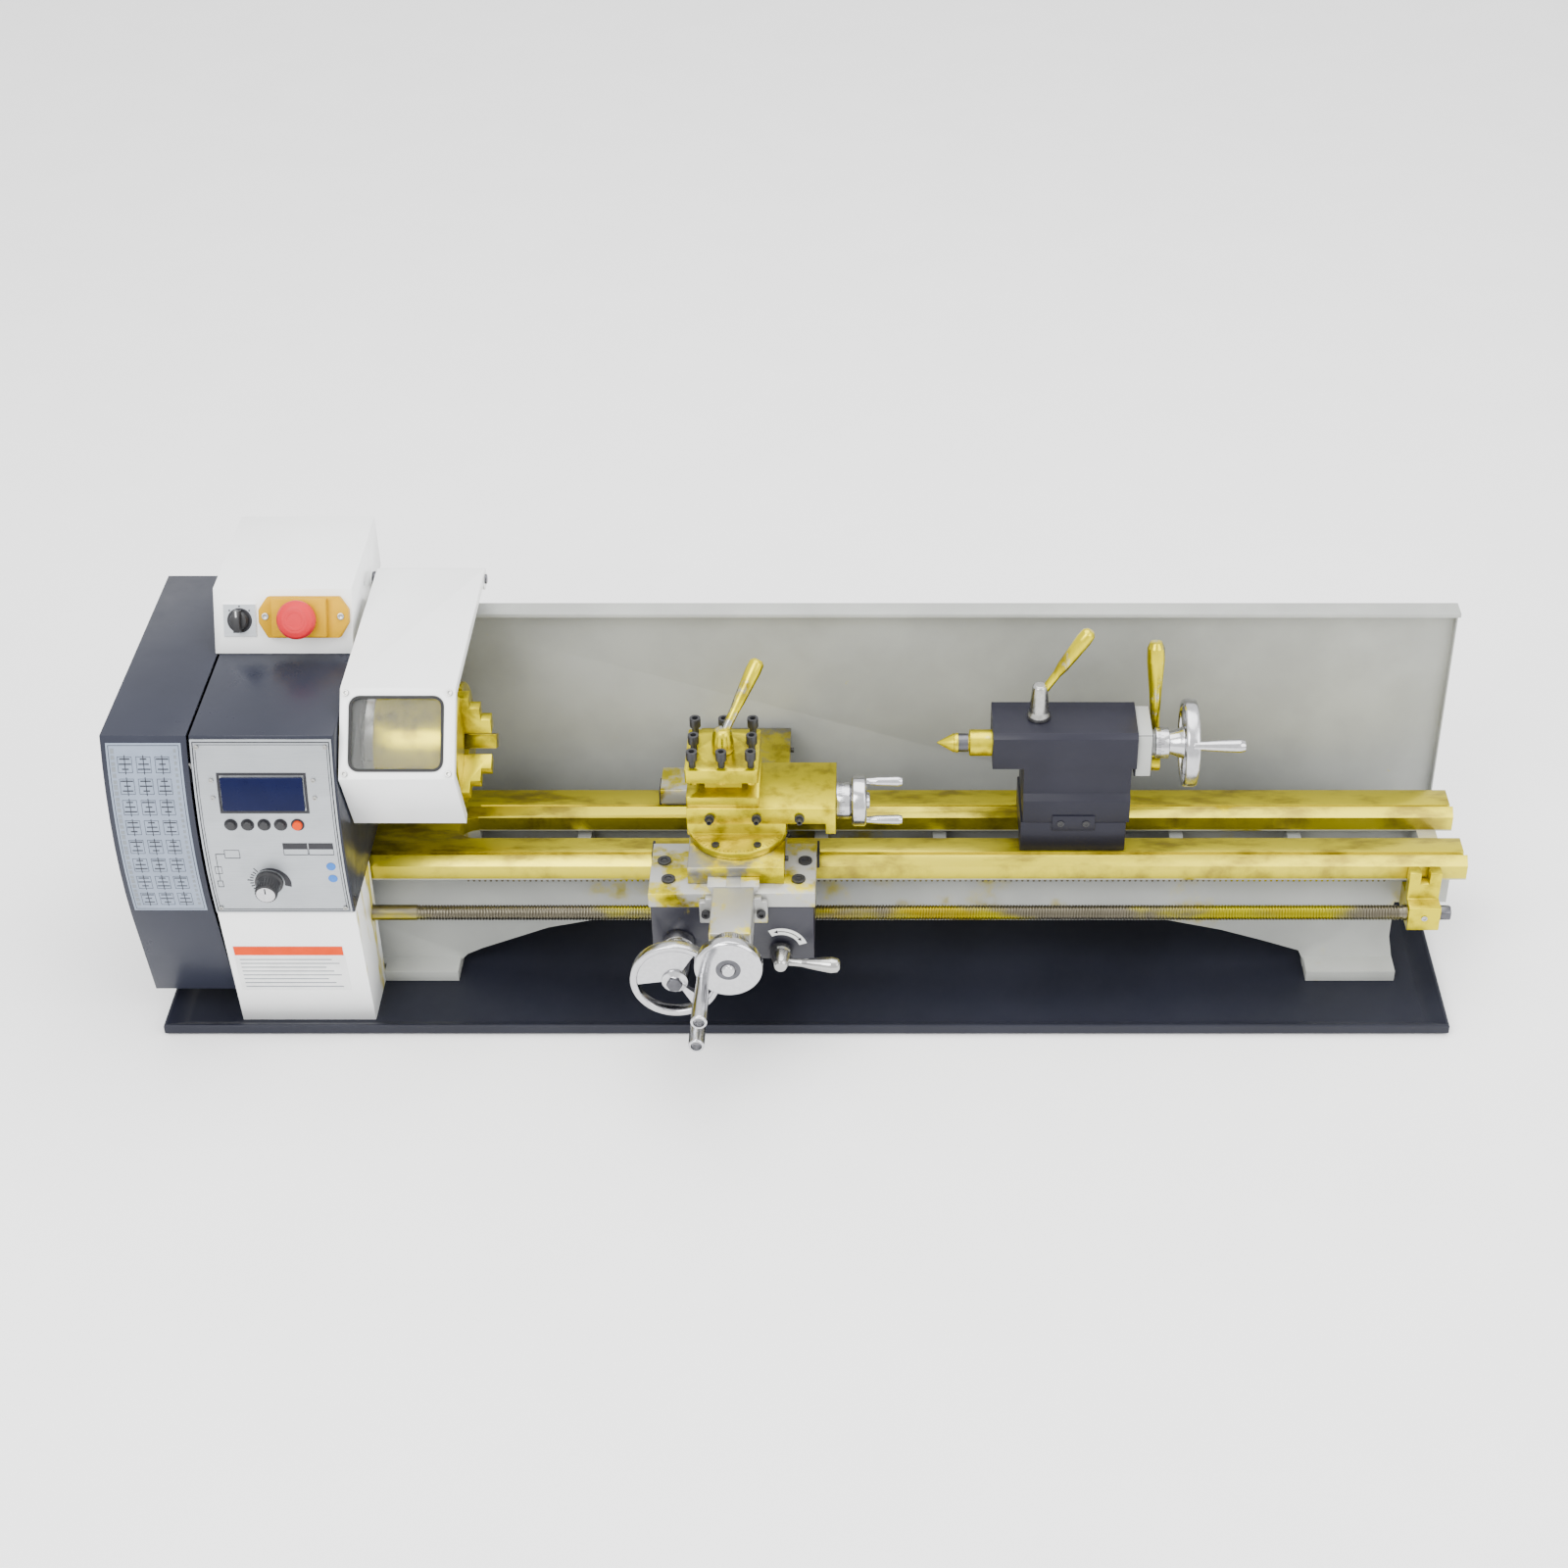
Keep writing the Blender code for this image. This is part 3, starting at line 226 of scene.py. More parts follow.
def cabinet_paint():
    """White powder coat with a streak of grease down the end that faces the chuck."""
    g = Graph("cabinet_coat", 0.36, 0.0, 0.2)
    streak = g.remap(g.noise(16.0, 4.0, (1, 2.6, 0.5)), 0.52, 0.6)
    streak = g.maths("MULTIPLY", streak, g.height(CABINET_END_M - 0.0005, CABINET_END_M + 0.0005, "X"))
    base = g.blend(g.remap(g.noise(7.0), 0.3, 0.7), shade(WHITE, 0.975), shade(WHITE, 1.02))
    g.colour(g.blend(streak, base, shade(GREASE, 0.95)))
    g.bump(g.noise(900.0, 2.0), 0.06, 0.0004)
    return g.material


def window_sheet():
    """Clear plastic with a slight haze."""
    g = Graph("window_sheet", 0.05, 0.0, 0.6)
    g.colour(g.blend(g.remap(g.noise(14.0), 0.3, 0.7), (0.62, 0.64, 0.60), (0.74, 0.75, 0.72)))
    g.shader.inputs["Alpha"].default_value = 0.05
    g.bump(g.noise(25.0, 2.0), 0.03, 0.0006)
    return g.material


M = {
    "white": paint("white_coat", WHITE, 0.33, 0.025, 0.25),
    "cast": paint("casting_paint", CAST_GREY, 0.45, 0.08, 0.1, 0.15),
    "splash": greased("splash_paint", SPLASH_GREY, 0.24, 0.0, (1, 1, 1), 70.0, 0.45),
    "slate": paint("slate_enamel", SLATE, 0.32, 0.08, 0.06, 0.04, 0.2),
    "navy": paint("navy_enamel", NAVY, 0.42, 0.12, 0.04, 0.04, 0.22),
    "iron": paint("iron_paint", IRON, 0.42, 0.12, 0.03, 0.1, 0.2),
    "steel": metal("turned_steel", STEEL, 0.24),
    "dark_steel": metal("blued_steel", (0.10, 0.10, 0.11), 0.35),
    "alloy": metal("polished_alloy", ALLOY, 0.17, (1, 1, 1), 0.06, 220.0),
    "plate": metal("panel_plate", (0.38, 0.40, 0.42), 0.42, (0.15, 1, 8), 0.05, 300.0, 0.03),
    "sticker": plastic("sticker_film", (0.20, 0.24, 0.31), 0.4),
    "black": plastic("black_plastic", (0.018, 0.018, 0.02), 0.38),
    "ink": plastic("black_ink", (0.012, 0.012, 0.016), 0.45),
    "grey_ink": plastic("grey_ink", (0.16, 0.18, 0.2), 0.45),
    "blue": plastic("blue_print", (0.015, 0.13, 0.45), 0.4),
    "pale": plastic("pale_print", (0.72, 0.73, 0.72), 0.45),
    "orange": plastic("orange_button", (0.62, 0.045, 0.0), 0.4, 0.0, 0.1),
    "yellow": plastic("yellow_plastic", (0.52, 0.28, 0.0), 0.5, 0.0, 0.08),
    "red": plastic("red_plastic", (0.50, 0.012, 0.02), 0.4, 0.0, 0.25),
    "lcd": plastic("display_film", (0.002, 0.004, 0.030), 0.3, 0.0, 0.12),
    "rubber": plastic("belt_rubber", (0.02, 0.02, 0.02), 0.75, 0.0),
    "window": window_sheet(),
    "ways": greased("greased_ways", CAST_GREY, 0.36, 0.0, (0.5, 1.6, 0.45), 15.0, 0.42, 0.1345),
    "grease": greased("greased_steel", STEEL, 0.72, 1.0, (1, 1, 1), 24.0, 0.26),
    "grease_thin": greased("thinly_greased_steel", (0.27, 0.26, 0.22), 0.52, 1.0, (1, 1, 1), 22.0, 0.28),
    "grease_bar": greased("greased_lever", STEEL, 0.62, 1.0, (1, 1, 0.5), 60.0, 0.16),
    "housing": greased("smeared_casting", (0.32, 0.32, 0.305), 0.40, 0.5, (1, 0.6, 1), 26.0, 0.36),
    "saddle": greased("smeared_saddle", (0.36, 0.36, 0.34), 0.46, 0.4, (1, 1, 1), 20.0, 0.35),
    "screw": greased(
        "greased_screw", (0.15, 0.135, 0.1), 0.5, 1.0, (0.3, 1, 1), 12.0, 0.36, colour=(0.3, 0.27, 0)
    ),
    "apron": greased("smeared_apron", IRON, 0.28, 0.0, (1.2, 1, 0.5), 30.0, 0.4),
    "lever": greased("handled_lever", (0.38, 0.38, 0.37), 0.34, 1.0, (1, 1, 1), 50.0, 0.2),
    "bronze": metal("bronze", (0.5, 0.33, 0.12), 0.32),
    "cabinet": cabinet_paint(),
}


# Shapes


def at(axis, along, u, v):
    return {"x": (along, u, v), "y": (u, along, v), "z": (u, v, along)}[axis]


def mesh_object(name, points, faces, material, angle=32):
    """An object from points in millimetres, smooth except across edges sharper than angle."""
    mesh = bpy.data.meshes.new(name)
    mesh.from_pydata([Vector(p) * 0.001 for p in points], [], faces)
    tool = bmesh.new()
    tool.from_mesh(mesh)
    bmesh.ops.recalc_face_normals(tool, faces=tool.faces)
    tool.to_mesh(mesh)
    tool.free()
    for face in mesh.polygons:
        face.use_smooth = True
    mesh.set_sharp_from_angle(angle=math.radians(angle))
    mesh.materials.append(material)
    obj = bpy.data.objects.new(name, mesh)
    bpy.context.scene.collection.objects.link(obj)
    return obj


def rounded(profile, radius=0.8):
    """A profile with each inner corner cut by a small two-step round."""
    result = [profile[0]]
    for before, here, after in zip(profile, profile[1:], profile[2:]):
        a, p, b = Vector(before), Vector(here), Vector(after)
        reach = min(radius, (a - p).length * 0.4, (b - p).length * 0.4)
        if reach < 0.05:
            result.append(here)
            continue
        one, two = p + (a - p).normalized() * reach, p + (b - p).normalized() * reach
        result += [tuple(one), tuple((one + two + p * 2) / 4), tuple(two)]
    return [*result, profile[-1]]


def lathe(profile, axis="x", centre=(0, 0), segments=72, soft=0.8):
    """Points and faces of a turned solid from (along, radius) pairs that begin and end on the axis."""
    points, faces, rows = [], [], []
    for along, radius in rounded(profile, soft) if soft else profile:
        if radius < 1e-6:
            rows.append([len(points)] * segments)
            points.append(at(axis, along, *centre))
            continue
        rows.append(list(range(len(points), len(points) + segments)))
        for i in range(segments):
            angle = 2 * math.pi * i / segments
            points.append(
                at(axis, along, centre[0] + radius * math.cos(angle), centre[1] + radius * math.sin(angle))
            )
    for one, two in zip(rows, rows[1:]):
        for i in range(segments):
            j = (i + 1) % segments
            face = list(dict.fromkeys((one[i], one[j], two[j], two[i])))
            if len(face) > 2:
                faces.append(face)
    return points, faces


def prism(axis, outline, low, high):
    """A solid with one outline along an axis, from low to high."""
    count = len(outline)
    points = [at(axis, end, u, v) for end in (low, high) for u, v in outline]
    faces = [tuple(range(count)), tuple(range(2 * count - 1, count - 1, -1))]
    faces += [(i, (i + 1) % count, (i + 1) % count + count, i + count) for i in range(count)]
    return points, faces


def box(x0, x1, y0, y1, z0, z1):
    return prism("z", ((x0, y0), (x1, y0), (x1, y1), (x0, y1)), z0, z1)


def aimed(shape, start, end):
    """A shape made along Z from the origin, moved to start and turned to point at end."""
    start, end = Vector(start), Vector(end)
    turn = Matrix.Translation(start) @ (end - start).to_track_quat("Z", "Y").to_matrix().to_4x4()
    return [tuple(turn @ Vector(p)) for p in shape[0]], shape[1]


def rod(start, end, profile, segments=40, soft=0.6):
    """A turned bar between two points, from (fraction of the length, radius) pairs."""
    length = (Vector(end) - Vector(start)).length
    turned = [(0, 0)] + [(f * length, r) for f, r in profile] + [(length, 0)]
    return aimed(lathe(turned, "z", (0, 0), segments, soft), start, end)


def joined(*shapes):
    points, faces = [], []
    for shape in shapes:
        base = len(points)
        points += shape[0]
        faces += [[i + base for i in face] for face in shape[1]]
    return points, faces


def piece(name, shape, material, body, slot, *replaced, bevel=0.0):
    """A shape as an object that rides on a body, in place of the CAD nodes it replaces."""
    obj = mesh_object(name, *shape, M[material])
    if bevel:
        soften(obj, bevel)
    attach(obj, body)
    if replaced:
        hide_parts(*replaced)
    return obj


def soften(obj, width, segments=2):
    """Rounds the sharp edges by width millimetres and leaves no modifier behind."""
    bevel = obj.modifiers.new("bevel", "BEVEL")
    bevel.width = width * 0.001
    bevel.segments = segments
    bevel.limit_method = "ANGLE"
    bevel.angle_limit = math.radians(28)
    bevel.harden_normals = False
    bevel.use_clamp_overlap = True
    bpy.context.view_layer.update()
    graph = bpy.context.evaluated_depsgraph_get()
    mesh = bpy.data.meshes.new_from_object(obj.evaluated_get(graph))
    obj.modifiers.clear()
    obj.data = mesh
    for face in mesh.polygons:
        face.use_smooth = True
    mesh.set_sharp_from_angle(angle=math.radians(50))


BODY = {node: body for body, nodes in frame["record"]["behaviour"]["bodies"].items() for node in nodes}


def refined(node, material, width=0.8, below_m=None):
    """A copy of a CAD node with flat faces made whole and its edges softened, shown in its place."""
    mesh = frame["nodes"][node].data.copy()
    mesh.transform(frame["nodes"][node].matrix_world)
    tool = bmesh.new()
    tool.from_mesh(mesh)
    bmesh.ops.remove_doubles(tool, verts=tool.verts, dist=2e-5)
    if below_m is not None:
        geometry = [*tool.verts, *tool.edges, *tool.faces]
        spot, up = (0, 0, below_m), (0, 0, 1)
        bmesh.ops.bisect_plane(tool, geom=geometry, plane_co=spot, plane_no=up, clear_outer=True)
        bmesh.ops.holes_fill(tool, edges=[e for e in tool.edges if e.is_boundary], sides=0)
    bmesh.ops.dissolve_limit(
        tool, angle_limit=math.radians(0.8), verts=tool.verts, edges=tool.edges, use_dissolve_boundaries=False
    )
    bmesh.ops.recalc_face_normals(tool, faces=tool.faces)
    tool.to_mesh(mesh)
    tool.free()
    mesh.materials.clear()
    mesh.materials.append(M[material])
    obj = bpy.data.objects.new(node + "_shown", mesh)
    bpy.context.scene.collection.objects.link(obj)
    for face in mesh.polygons:
        face.material_index, face.use_smooth = 0, True
    mesh.set_sharp_from_angle(angle=math.radians(30))
    if width:
        soften(obj, width)
    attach(obj, BODY[node])
    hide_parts(node)
    return obj


def recolour(node, material):
    for slot in frame["nodes"][node].material_slots:
        slot.material = M[material]


# The bowed front, the sloping face of the electrics box and the guard's window face


def circle_through(one, two, three):
    a, b, c = Vector(one), Vector(two), Vector(three)
    d = 2 * (a.x * (b.y - c.y) + b.x * (c.y - a.y) + c.x * (a.y - b.y))
    sa, sb, sc = a.length_squared, b.length_squared, c.length_squared
    x = (sa * (b.y - c.y) + sb * (c.y - a.y) + sc * (a.y - b.y)) / d
    y = (sa * (c.x - b.x) + sb * (a.x - c.x) + sc * (b.x - a.x)) / d
    return Vector((x, y)), (a - Vector((x, y))).length


BOW_CENTRE, BOW_RADIUS = circle_through(*CURVE)
FACE_UP = (FACE_HEAD - FACE_FOOT).normalized()
FACE_OUT = Vector((-FACE_UP.y, FACE_UP.x))
GUARD_DOWN = (GUARD_SLOPE[1] - GUARD_SLOPE[0]).normalized()
GUARD_OUT = Vector((GUARD_DOWN.y, -GUARD_DOWN.x))


def on_bow(x, z, out=0.0):
    """A point on the bowed front, out from it along its normal."""
    y = BOW_CENTRE.x - math.sqrt(BOW_RADIUS**2 - (z - BOW_CENTRE.y) ** 2)
    normal = (Vector((y, z)) - BOW_CENTRE).normalized()
    return (x, y + normal.x * out, z + normal.y * out)


def on_face(x, v, out=0.0):
    spot = FACE_FOOT + FACE_UP * v + FACE_OUT * out
    return (x, spot.x, spot.y)


def on_guard(x, v, out=0.0):
    spot = GUARD_SLOPE[0] + GUARD_DOWN * v + GUARD_OUT * out
    return (x, spot.x, spot.y)


def on_cabinet(x, z, out=0.0):
    return (x, CABINET_FOOT[0] - CABINET_LEAN * (z - CABINET_FOOT[1]) - out, z)


def patch(x0, x1, z0, z1, low, high, surface=on_bow):
    """A thin print between heights low and high out of a surface, following its curve."""
    steps = max(1, round(abs(z1 - z0) / 12))
    points, faces = [], []
    for i in range(steps + 1):
        z = z0 + (z1 - z0) * i / steps
        points += [surface(x, z, w) for x in (x0, x1) for w in (low, high)]
    for i in range(steps):
        a, b = 4 * i, 4 * i + 4
        for one, two in ((0, 1), (1, 3), (3, 2), (2, 0)):
            faces.append((a + one, a + two, b + two, b + one))
    faces += [(0, 1, 3, 2), (4 * steps, 4 * steps + 1, 4 * steps + 3, 4 * steps + 2)]
    return points, faces


def outline_of(x0, x1, z0, z1, width, low, high, surface=on_bow):
    """Four thin strips round a rectangle."""
    return joined(
        patch(x0, x1, z0, z0 + width, low, high, surface),
        patch(x0, x1, z1 - width, z1, low, high, surface),
        patch(x0, x0 + width, z0 + width, z1 - width, low, high, surface),
        patch(x1 - width, x1, z0 + width, z1 - width, low, high, surface),
    )


def slab(flat, low, high):
    """A thin four-cornered print between heights low and high out of the bowed front."""
    points = [on_bow(x, z, w) for w in (low, high) for x, z in flat]
    faces = [(0, 1, 2, 3), (7, 6, 5, 4)] + [(k, (k + 1) % 4, (k + 1) % 4 + 4, k + 4) for k in range(4)]
    return points, faces


def disc_on(surface, x, z, profile, segments=28):
    """A turned piece standing on a surface, from (height out, radius) pairs."""
    low, high = profile[0][0], profile[-1][0]
    turned = [(0, 0)] + [(w - low, r) for w, r in profile] + [(high - low, 0)]
    return aimed(lathe(turned, "z", (0, 0), segments, 0.15), surface(x, z, low), surface(x, z, high))


def screw_head(start, end, radius):
    """A screw head with a socket, from its seat at start to its top at end."""
    length = (Vector(end) - Vector(start)).length
    head = [(0, 0), (0, radius), (length, radius), (length, radius * 0.52)]
    socket = [(length * 0.45, radius * 0.52), (length * 0.45, 0)]
    return aimed(lathe(head + socket, "z", (0, 0), 24, 0.25), start, end)


# Pieces


def tray():
    """The pressed tray: a rolled rim all round and a floor inside it."""
    rings = ((656, -151, 136, 0), (658.5, -153.5, 138.5, 1), (660, -155, 140, 3), (660, -155, 140, 12),
             (659.3, -154.3, 139.3, 13), (657.7, -152.7, 137.7, 13), (656, -151, 136.6, 12),
             (640, -139, 133.2, 4.2), (636, -135, 132, 3))  # fmt: skip
    points = []
    for half, front, back, z in rings:
        points += [(-half, front, z), (half, front, z), (half, back, z), (-half, back, z)]
    last = 4 * len(rings) - 4
    faces = [(0, 1, 2, 3), (last, last + 1, last + 2, last + 3)]
    for row in range(len(rings) - 1):
        for i in range(4):
            j = (i + 1) % 4
            faces.append((4 * row + i, 4 * row + j, 4 * row + 4 + j, 4 * row + 4 + i))
    piece("tray_shown", (points, faces), "navy", "frame", "tray", "tray")


def window_line(grow):
    """The outline of the guard's window with round corners, grown on every side."""
    x0, x1, v0, v1, radius = -434 - grow, -345 + grow, 9 - grow, 80 + grow, 9 + grow
    line = []
    for cx, cv, start in ((x1, v1, 0), (x0, v1, 90), (x0, v0, 180), (x1, v0, 270)):
        cx += -radius if cx == x1 else radius
        cv += -radius if cv == v1 else radius
        for i in range(7):
            angle = math.radians(start + 15 * i)
            line.append((cx + radius * math.cos(angle), cv + radius * math.sin(angle)))
    return line


def sheet_metal():
    tray()
    refined("back_splash", "splash", 0.6)
    refined("headstock_cover", "slate", 0.9)
    refined("gear_cover", "slate", 0.9)
    refined("base_cabinet", "cabinet", 0.7)
    refined("electrics_box", "white", 0.9)
    refined("chuck_guard", "white", 0.8)
    refined("guard_window", "window", 0.0)
    screws = [
        screw_head(on_guard(x, v, 0.1), on_guard(x, v, 2.4), 3.1)
        for x in (-438.5, -338.5)
        for v in (5.0, 83.5)
    ]
    piece("guard_screws", joined(*screws), "steel", "guard", "chuck_guard")
    rod_body = lathe([(-448.6, 0), (-448.6, 8), (-445, 8), (-445, 5), (-331, 5), (-331, 0)], "x", GUARD_PIVOT)
    piece("guard_rod_shown", rod_body, "dark_steel", "frame", "guard_rod", "guard_rod")
    outer, inner = window_line(1.4), window_line(-1.6)
    count = len(outer)
    points = [on_guard(x, v, w) for w in (0.15, 1.0) for line in (outer, inner) for x, v in line]
    faces = []
    for i in range(count):
        j = (i + 1) % count
        for a, b in ((0, 1), (1, 3), (3, 2), (2, 0)):
            faces.append((a * count + i, a * count + j, b * count + j, b * count + i))
    piece("window_gasket", (points, faces), "rubber", "guard", "chuck_guard")
    cap = lathe([(-449.9, 0), (-449.9, 7.2), (-449.2, 7.2), (-449.2, 0)], "x", GUARD_PIVOT, 32, 0)
    piece("guard_rod_cap", cap, "black", "frame", "guard_rod")


def casting_pieces():
    refined("bed", "ways", 0.9)
    refined("headstock_casting", "iron", 1.2)
    refined("screw_bracket", "grease", 0.8)
    refined("apron", "apron", 0.9)
    refined("saddle", "saddle", 0.7)
    refined("cross_slide", "grease_thin", 0.6)
    refined("cross_housing", "housing", 1.6)
    refined("swivel_base", "grease", 0.6)
    refined("top_slide", "grease", 0.8)
    refined("tailstock_base", "iron", 0.9)
    refined("tailstock_body", "iron", 1.3)
    refined("motor", "black", 0.8)
    refined("banjo", "iron", 0.6)
    refined("half_nut_upper", "bronze", 0.4)
    refined("half_nut_lower", "bronze", 0.4)
    for node in ("idler_gear", "stud_gear", "apron_gear", "motor_pulley"):
        recolour(node, "steel")
    recolour("spindle_pulley", "alloy")
    recolour("drive_belt", "rubber")


def rack_teeth():
    """A straight rack whose teeth face down, on the bed's front side."""
    low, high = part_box("rack")
    x0, x1, z0, z1 = low[0] * 1000, high[0] * 1000, low[2] * 1000, high[2] * 1000
    pitch = math.pi * 1.85
    count = int((x1 - x0) / pitch)
    pitch = (x1 - x0) / count
    outline = [(x0, z1)]
    for i in range(count):
        x = x0 + i * pitch
        root = z0 + 3.4
        outline += [(x, z0), (x + pitch * 0.3, z0), (x + pitch * 0.45, root), (x + pitch * 0.85, root)]
    outline += [(x1, z0), (x1, z1)]
    shape = prism("y", outline, low[1] * 1000, high[1] * 1000)
    piece("rack_shown", shape, "screw", "frame", "rack", "rack")


def leadscrew():
    """The lead screw with a cut thread between its plain ends."""
    pitch, segments, start, end = 3.2, 20, -400.0, 612.0
    turns = int((end - start) / pitch) - 1
    profile = ((0.0, 6.9), (0.28, 8.0), (0.55, 8.0), (0.83, 6.9))
    points, faces = [], []
    for step in range(turns * segments + 1):
        angle = 2 * math.pi * step / segments
        for across, radius in profile:
            x = start + pitch * (step / segments + across)
            y, z = LEADSCREW[0] + radius * math.cos(angle), LEADSCREW[1] + radius * math.sin(angle)
            points.append((x, y, z))
    for step in range(turns * segments):
        for i in range(3):
            a = 4 * step + i
            faces.append((a, a + 1, a + 5, a + 4))
    last = turns * segments
    faces += [(0, 1, 2, 3), (4 * last + 3, 4 * last + 2, 4 * last + 1, 4 * last)]
    core = lathe(
        [(-630, 0), (-630, 8), (start, 8), (start, 6.95), (end, 6.95), (end, 8), (649.4, 8), (649.4, 0)],
        "x",
        LEADSCREW,
        40,
        0.3,
    )
    piece("leadscrew_thread", joined(core, (points, faces)), "screw", "feed_screw", "leadscrew", "leadscrew")
    turns = [math.pi * (i / 3 + 0.5) for i in range(6)]
    six = [(LEADSCREW[0] + 8.4 * math.cos(a), LEADSCREW[1] + 8.4 * math.sin(a)) for a in turns]
    piece("leadscrew_stub", prism("x", six, 649.4, 661.8), "dark_steel", "feed_screw", "leadscrew", bevel=1.4)
    wheel = gear_shape(LEADSCREW, 32, 3.0, -628, -618)
    piece("leadscrew_gear", wheel, "steel", "feed_screw", "leadscrew")


def gear_shape(centre, teeth, module, low, high):
    """A gear with straight-sided teeth, along X from low to high."""
    pitch = module * teeth / 2
    outline = []
    for i in range(teeth):
        middle = 2 * math.pi * i / teeth
        for radius, share in ((pitch - 1.2 * module, -0.62), (pitch + 0.85 * module, -0.2),
                              (pitch + 0.85 * module, 0.2), (pitch - 1.2 * module, 0.62)):  # fmt: skip
            angle = middle + share * math.pi / teeth
            outline.append((centre[0] + radius * math.cos(angle), centre[1] + radius * math.sin(angle)))
    return prism("x", outline, low, high)


def panel():
    refined("control_panel", "plate", 0.0)
    refined("display", "lcd", 0.7)
    ink = [
        outline_of(-581.2, -449.8, 163, 355.5, 1.0, *PRINT),
        outline_of(-578.6, -452.4, 165.6, 352.9, 0.5, *PRINT),
        outline_of(-560.5, -474.5, 283.5, 325.5, 2.6, 1.4, 1.75),
        patch(-505, -481, 243, 250, *PRINT),
        patch(-480, -456, 243, 250, *PRINT),
        outline_of(-505, -481, 236, 243.4, 0.5, *PRINT),
        outline_of(-480.5, -456, 236, 243.4, 0.5, *PRINT),
        outline_of(-563, -548, 232, 242, 0.5, *PRINT),
        patch(-572, -563, 236.6, 237.3, *PRINT),
        patch(-572, -571.4, 205, 237, *PRINT),
        outline_of(-575, -568, 213, 222, 0.5, *PRINT),
        outline_of(-575, -569.5, 196, 204, 0.5, *PRINT),
    ]
    for x in KEY_X:
        ink.append(disc_on(on_bow, x, KEY_Z, ((1.45, 6.6), (1.8, 6.6), (1.8, 5.6)), 32))
    for i in range(10):
        angle = math.radians(128 + 104 * i / 9)
        reach = (15.6, 19.2 if i % 4 else 21.4)
        a, b = (Vector(KNOB) + Vector((math.cos(angle), math.sin(angle))) * r for r in reach)
        side = Vector((-math.sin(angle), math.cos(angle))) * 0.45
        corners = [a - side, b - side, b + side, a + side]
        ink.append(slab([(c.x, c.y) for c in corners], 1.45, 1.66))
    piece("panel_print", joined(*ink), "ink", "frame", "control_panel")
    arc = []
    for i in range(24):
        angles = [math.radians(118 - 136 * (i + j) / 24) for j in (0, 1)]
        widths = [15.6 + 6.4 * (i + j) / 24 for j in (0, 1)]
        spots = [(15.2, angles[0]), (15.2, angles[1]), (widths[1], angles[1]), (widths[0], angles[0])]
        flat = [(KNOB[0] + r * math.cos(a), KNOB[1] + r * math.sin(a)) for r, a in spots]
        arc.append(slab(flat, 1.45, 1.7))
    piece("knob_scale", joined(*arc), "ink", "frame", "control_panel")
    dots = [disc_on(on_bow, -461, z, ((1.45, 4.6), (1.75, 4.6))) for z in (222, 207)]
    piece("panel_dots", joined(*dots), "blue", "frame", "control_panel")
    spots = [(x, z) for x in (-577, -454) for z in (168, 350.5)]
    spots += [(x, z) for x in (-566, -468) for z in (300, 318)]
    screws = [screw_head(on_bow(x, z, 1.5), on_bow(x, z, 3.0), 2.3) for x, z in spots]
    piece("panel_screws", joined(*screws), "steel", "frame", "control_panel")
    for i, x in enumerate(KEY_X):
        name = f"key_{i + 1}" if i < 4 else "run_key"
        shape = disc_on(on_bow, x, KEY_Z, ((-4.9, 4.6), (4.7, 4.6), (5.5, 3.9)), 36)
        piece(name + "_shown", shape, "black" if i < 4 else "orange", name, name, name)
    knob()


def knob():
    body = disc_on(on_bow, *KNOB, ((1.95, 13.9), (4.4, 13.9), (5.4, 11.6), (20.6, 10.4)), 64)
    piece("speed_knob_shown", body, "black", "knob", "speed_knob", "speed_knob")
    ribs = []
    for i in range(24):
        angle = 2 * math.pi * i / 24
        spot = (KNOB[0] + 10.55 * math.cos(angle), KNOB[1] + 10.55 * math.sin(angle))
        start, end = on_bow(*spot, 6.2), on_bow(*spot, 19.8)
        ribs.append(rod(start, end, ((0, 0.75), (1, 0.55)), 8, 0))
    piece("knob_ribs", joined(*ribs), "black", "knob", "speed_knob")
    face = disc_on(on_bow, *KNOB, ((20.5, 9.2), (21.5, 9.2), (21.8, 8.6)), 48)
    piece("knob_face", face, "alloy", "knob", "speed_knob")
    mark = patch(KNOB[0] - 0.7, KNOB[0] + 0.7, KNOB[1] + 1, KNOB[1] + 8, 21.6, 21.88)
    piece("knob_mark", mark, "ink", "knob", "speed_knob")


def gear_chart():
    """A pale sheet of generic change-gear sketches on the front of the gear cover."""
    left, right = -664.0, -592.0
    piece("gear_chart", patch(left, right, 163, 354, 0.05, 0.3), "sticker", "gear_cover", "gear_cover")
    lines = [outline_of(left + 2, right - 2, 165, 352, 0.5, 0.25, 0.45)]
    for row in range(8):
        z = 171 + row * 22
        for column in range(3):
            x = left + 10 + column * 18
            lines.append(outline_of(x, x + 14, z, z + 16, 0.4, 0.25, 0.45))
            lines.append(patch(x + 6.6, x + 7.4, z - 1.5, z + 17.5, 0.25, 0.45))
            for i in range(3):
                width = (5.0, 3.2, 6.0)[(row + column + i) % 3]
                lines.append(patch(x + 7 - width, x + 7 + width, z + 3 + 5 * i, z + 4.2 + 5 * i, 0.25, 0.45))
    piece("gear_chart_lines", joined(*lines), "ink", "gear_cover", "gear_cover")
    notes = []
    for row in range(30):
        z = 170 + row * 6
        notes.append(patch(left + 4, left + 7.5, z, z + 3.4 + (row % 3) * 0.7, 0.25, 0.42))
        notes.append(patch(right - 7.5, right - 5, z + 1, z + 4.2, 0.25, 0.42))
    piece("gear_chart_notes", joined(*notes), "grey_ink", "gear_cover", "gear_cover")


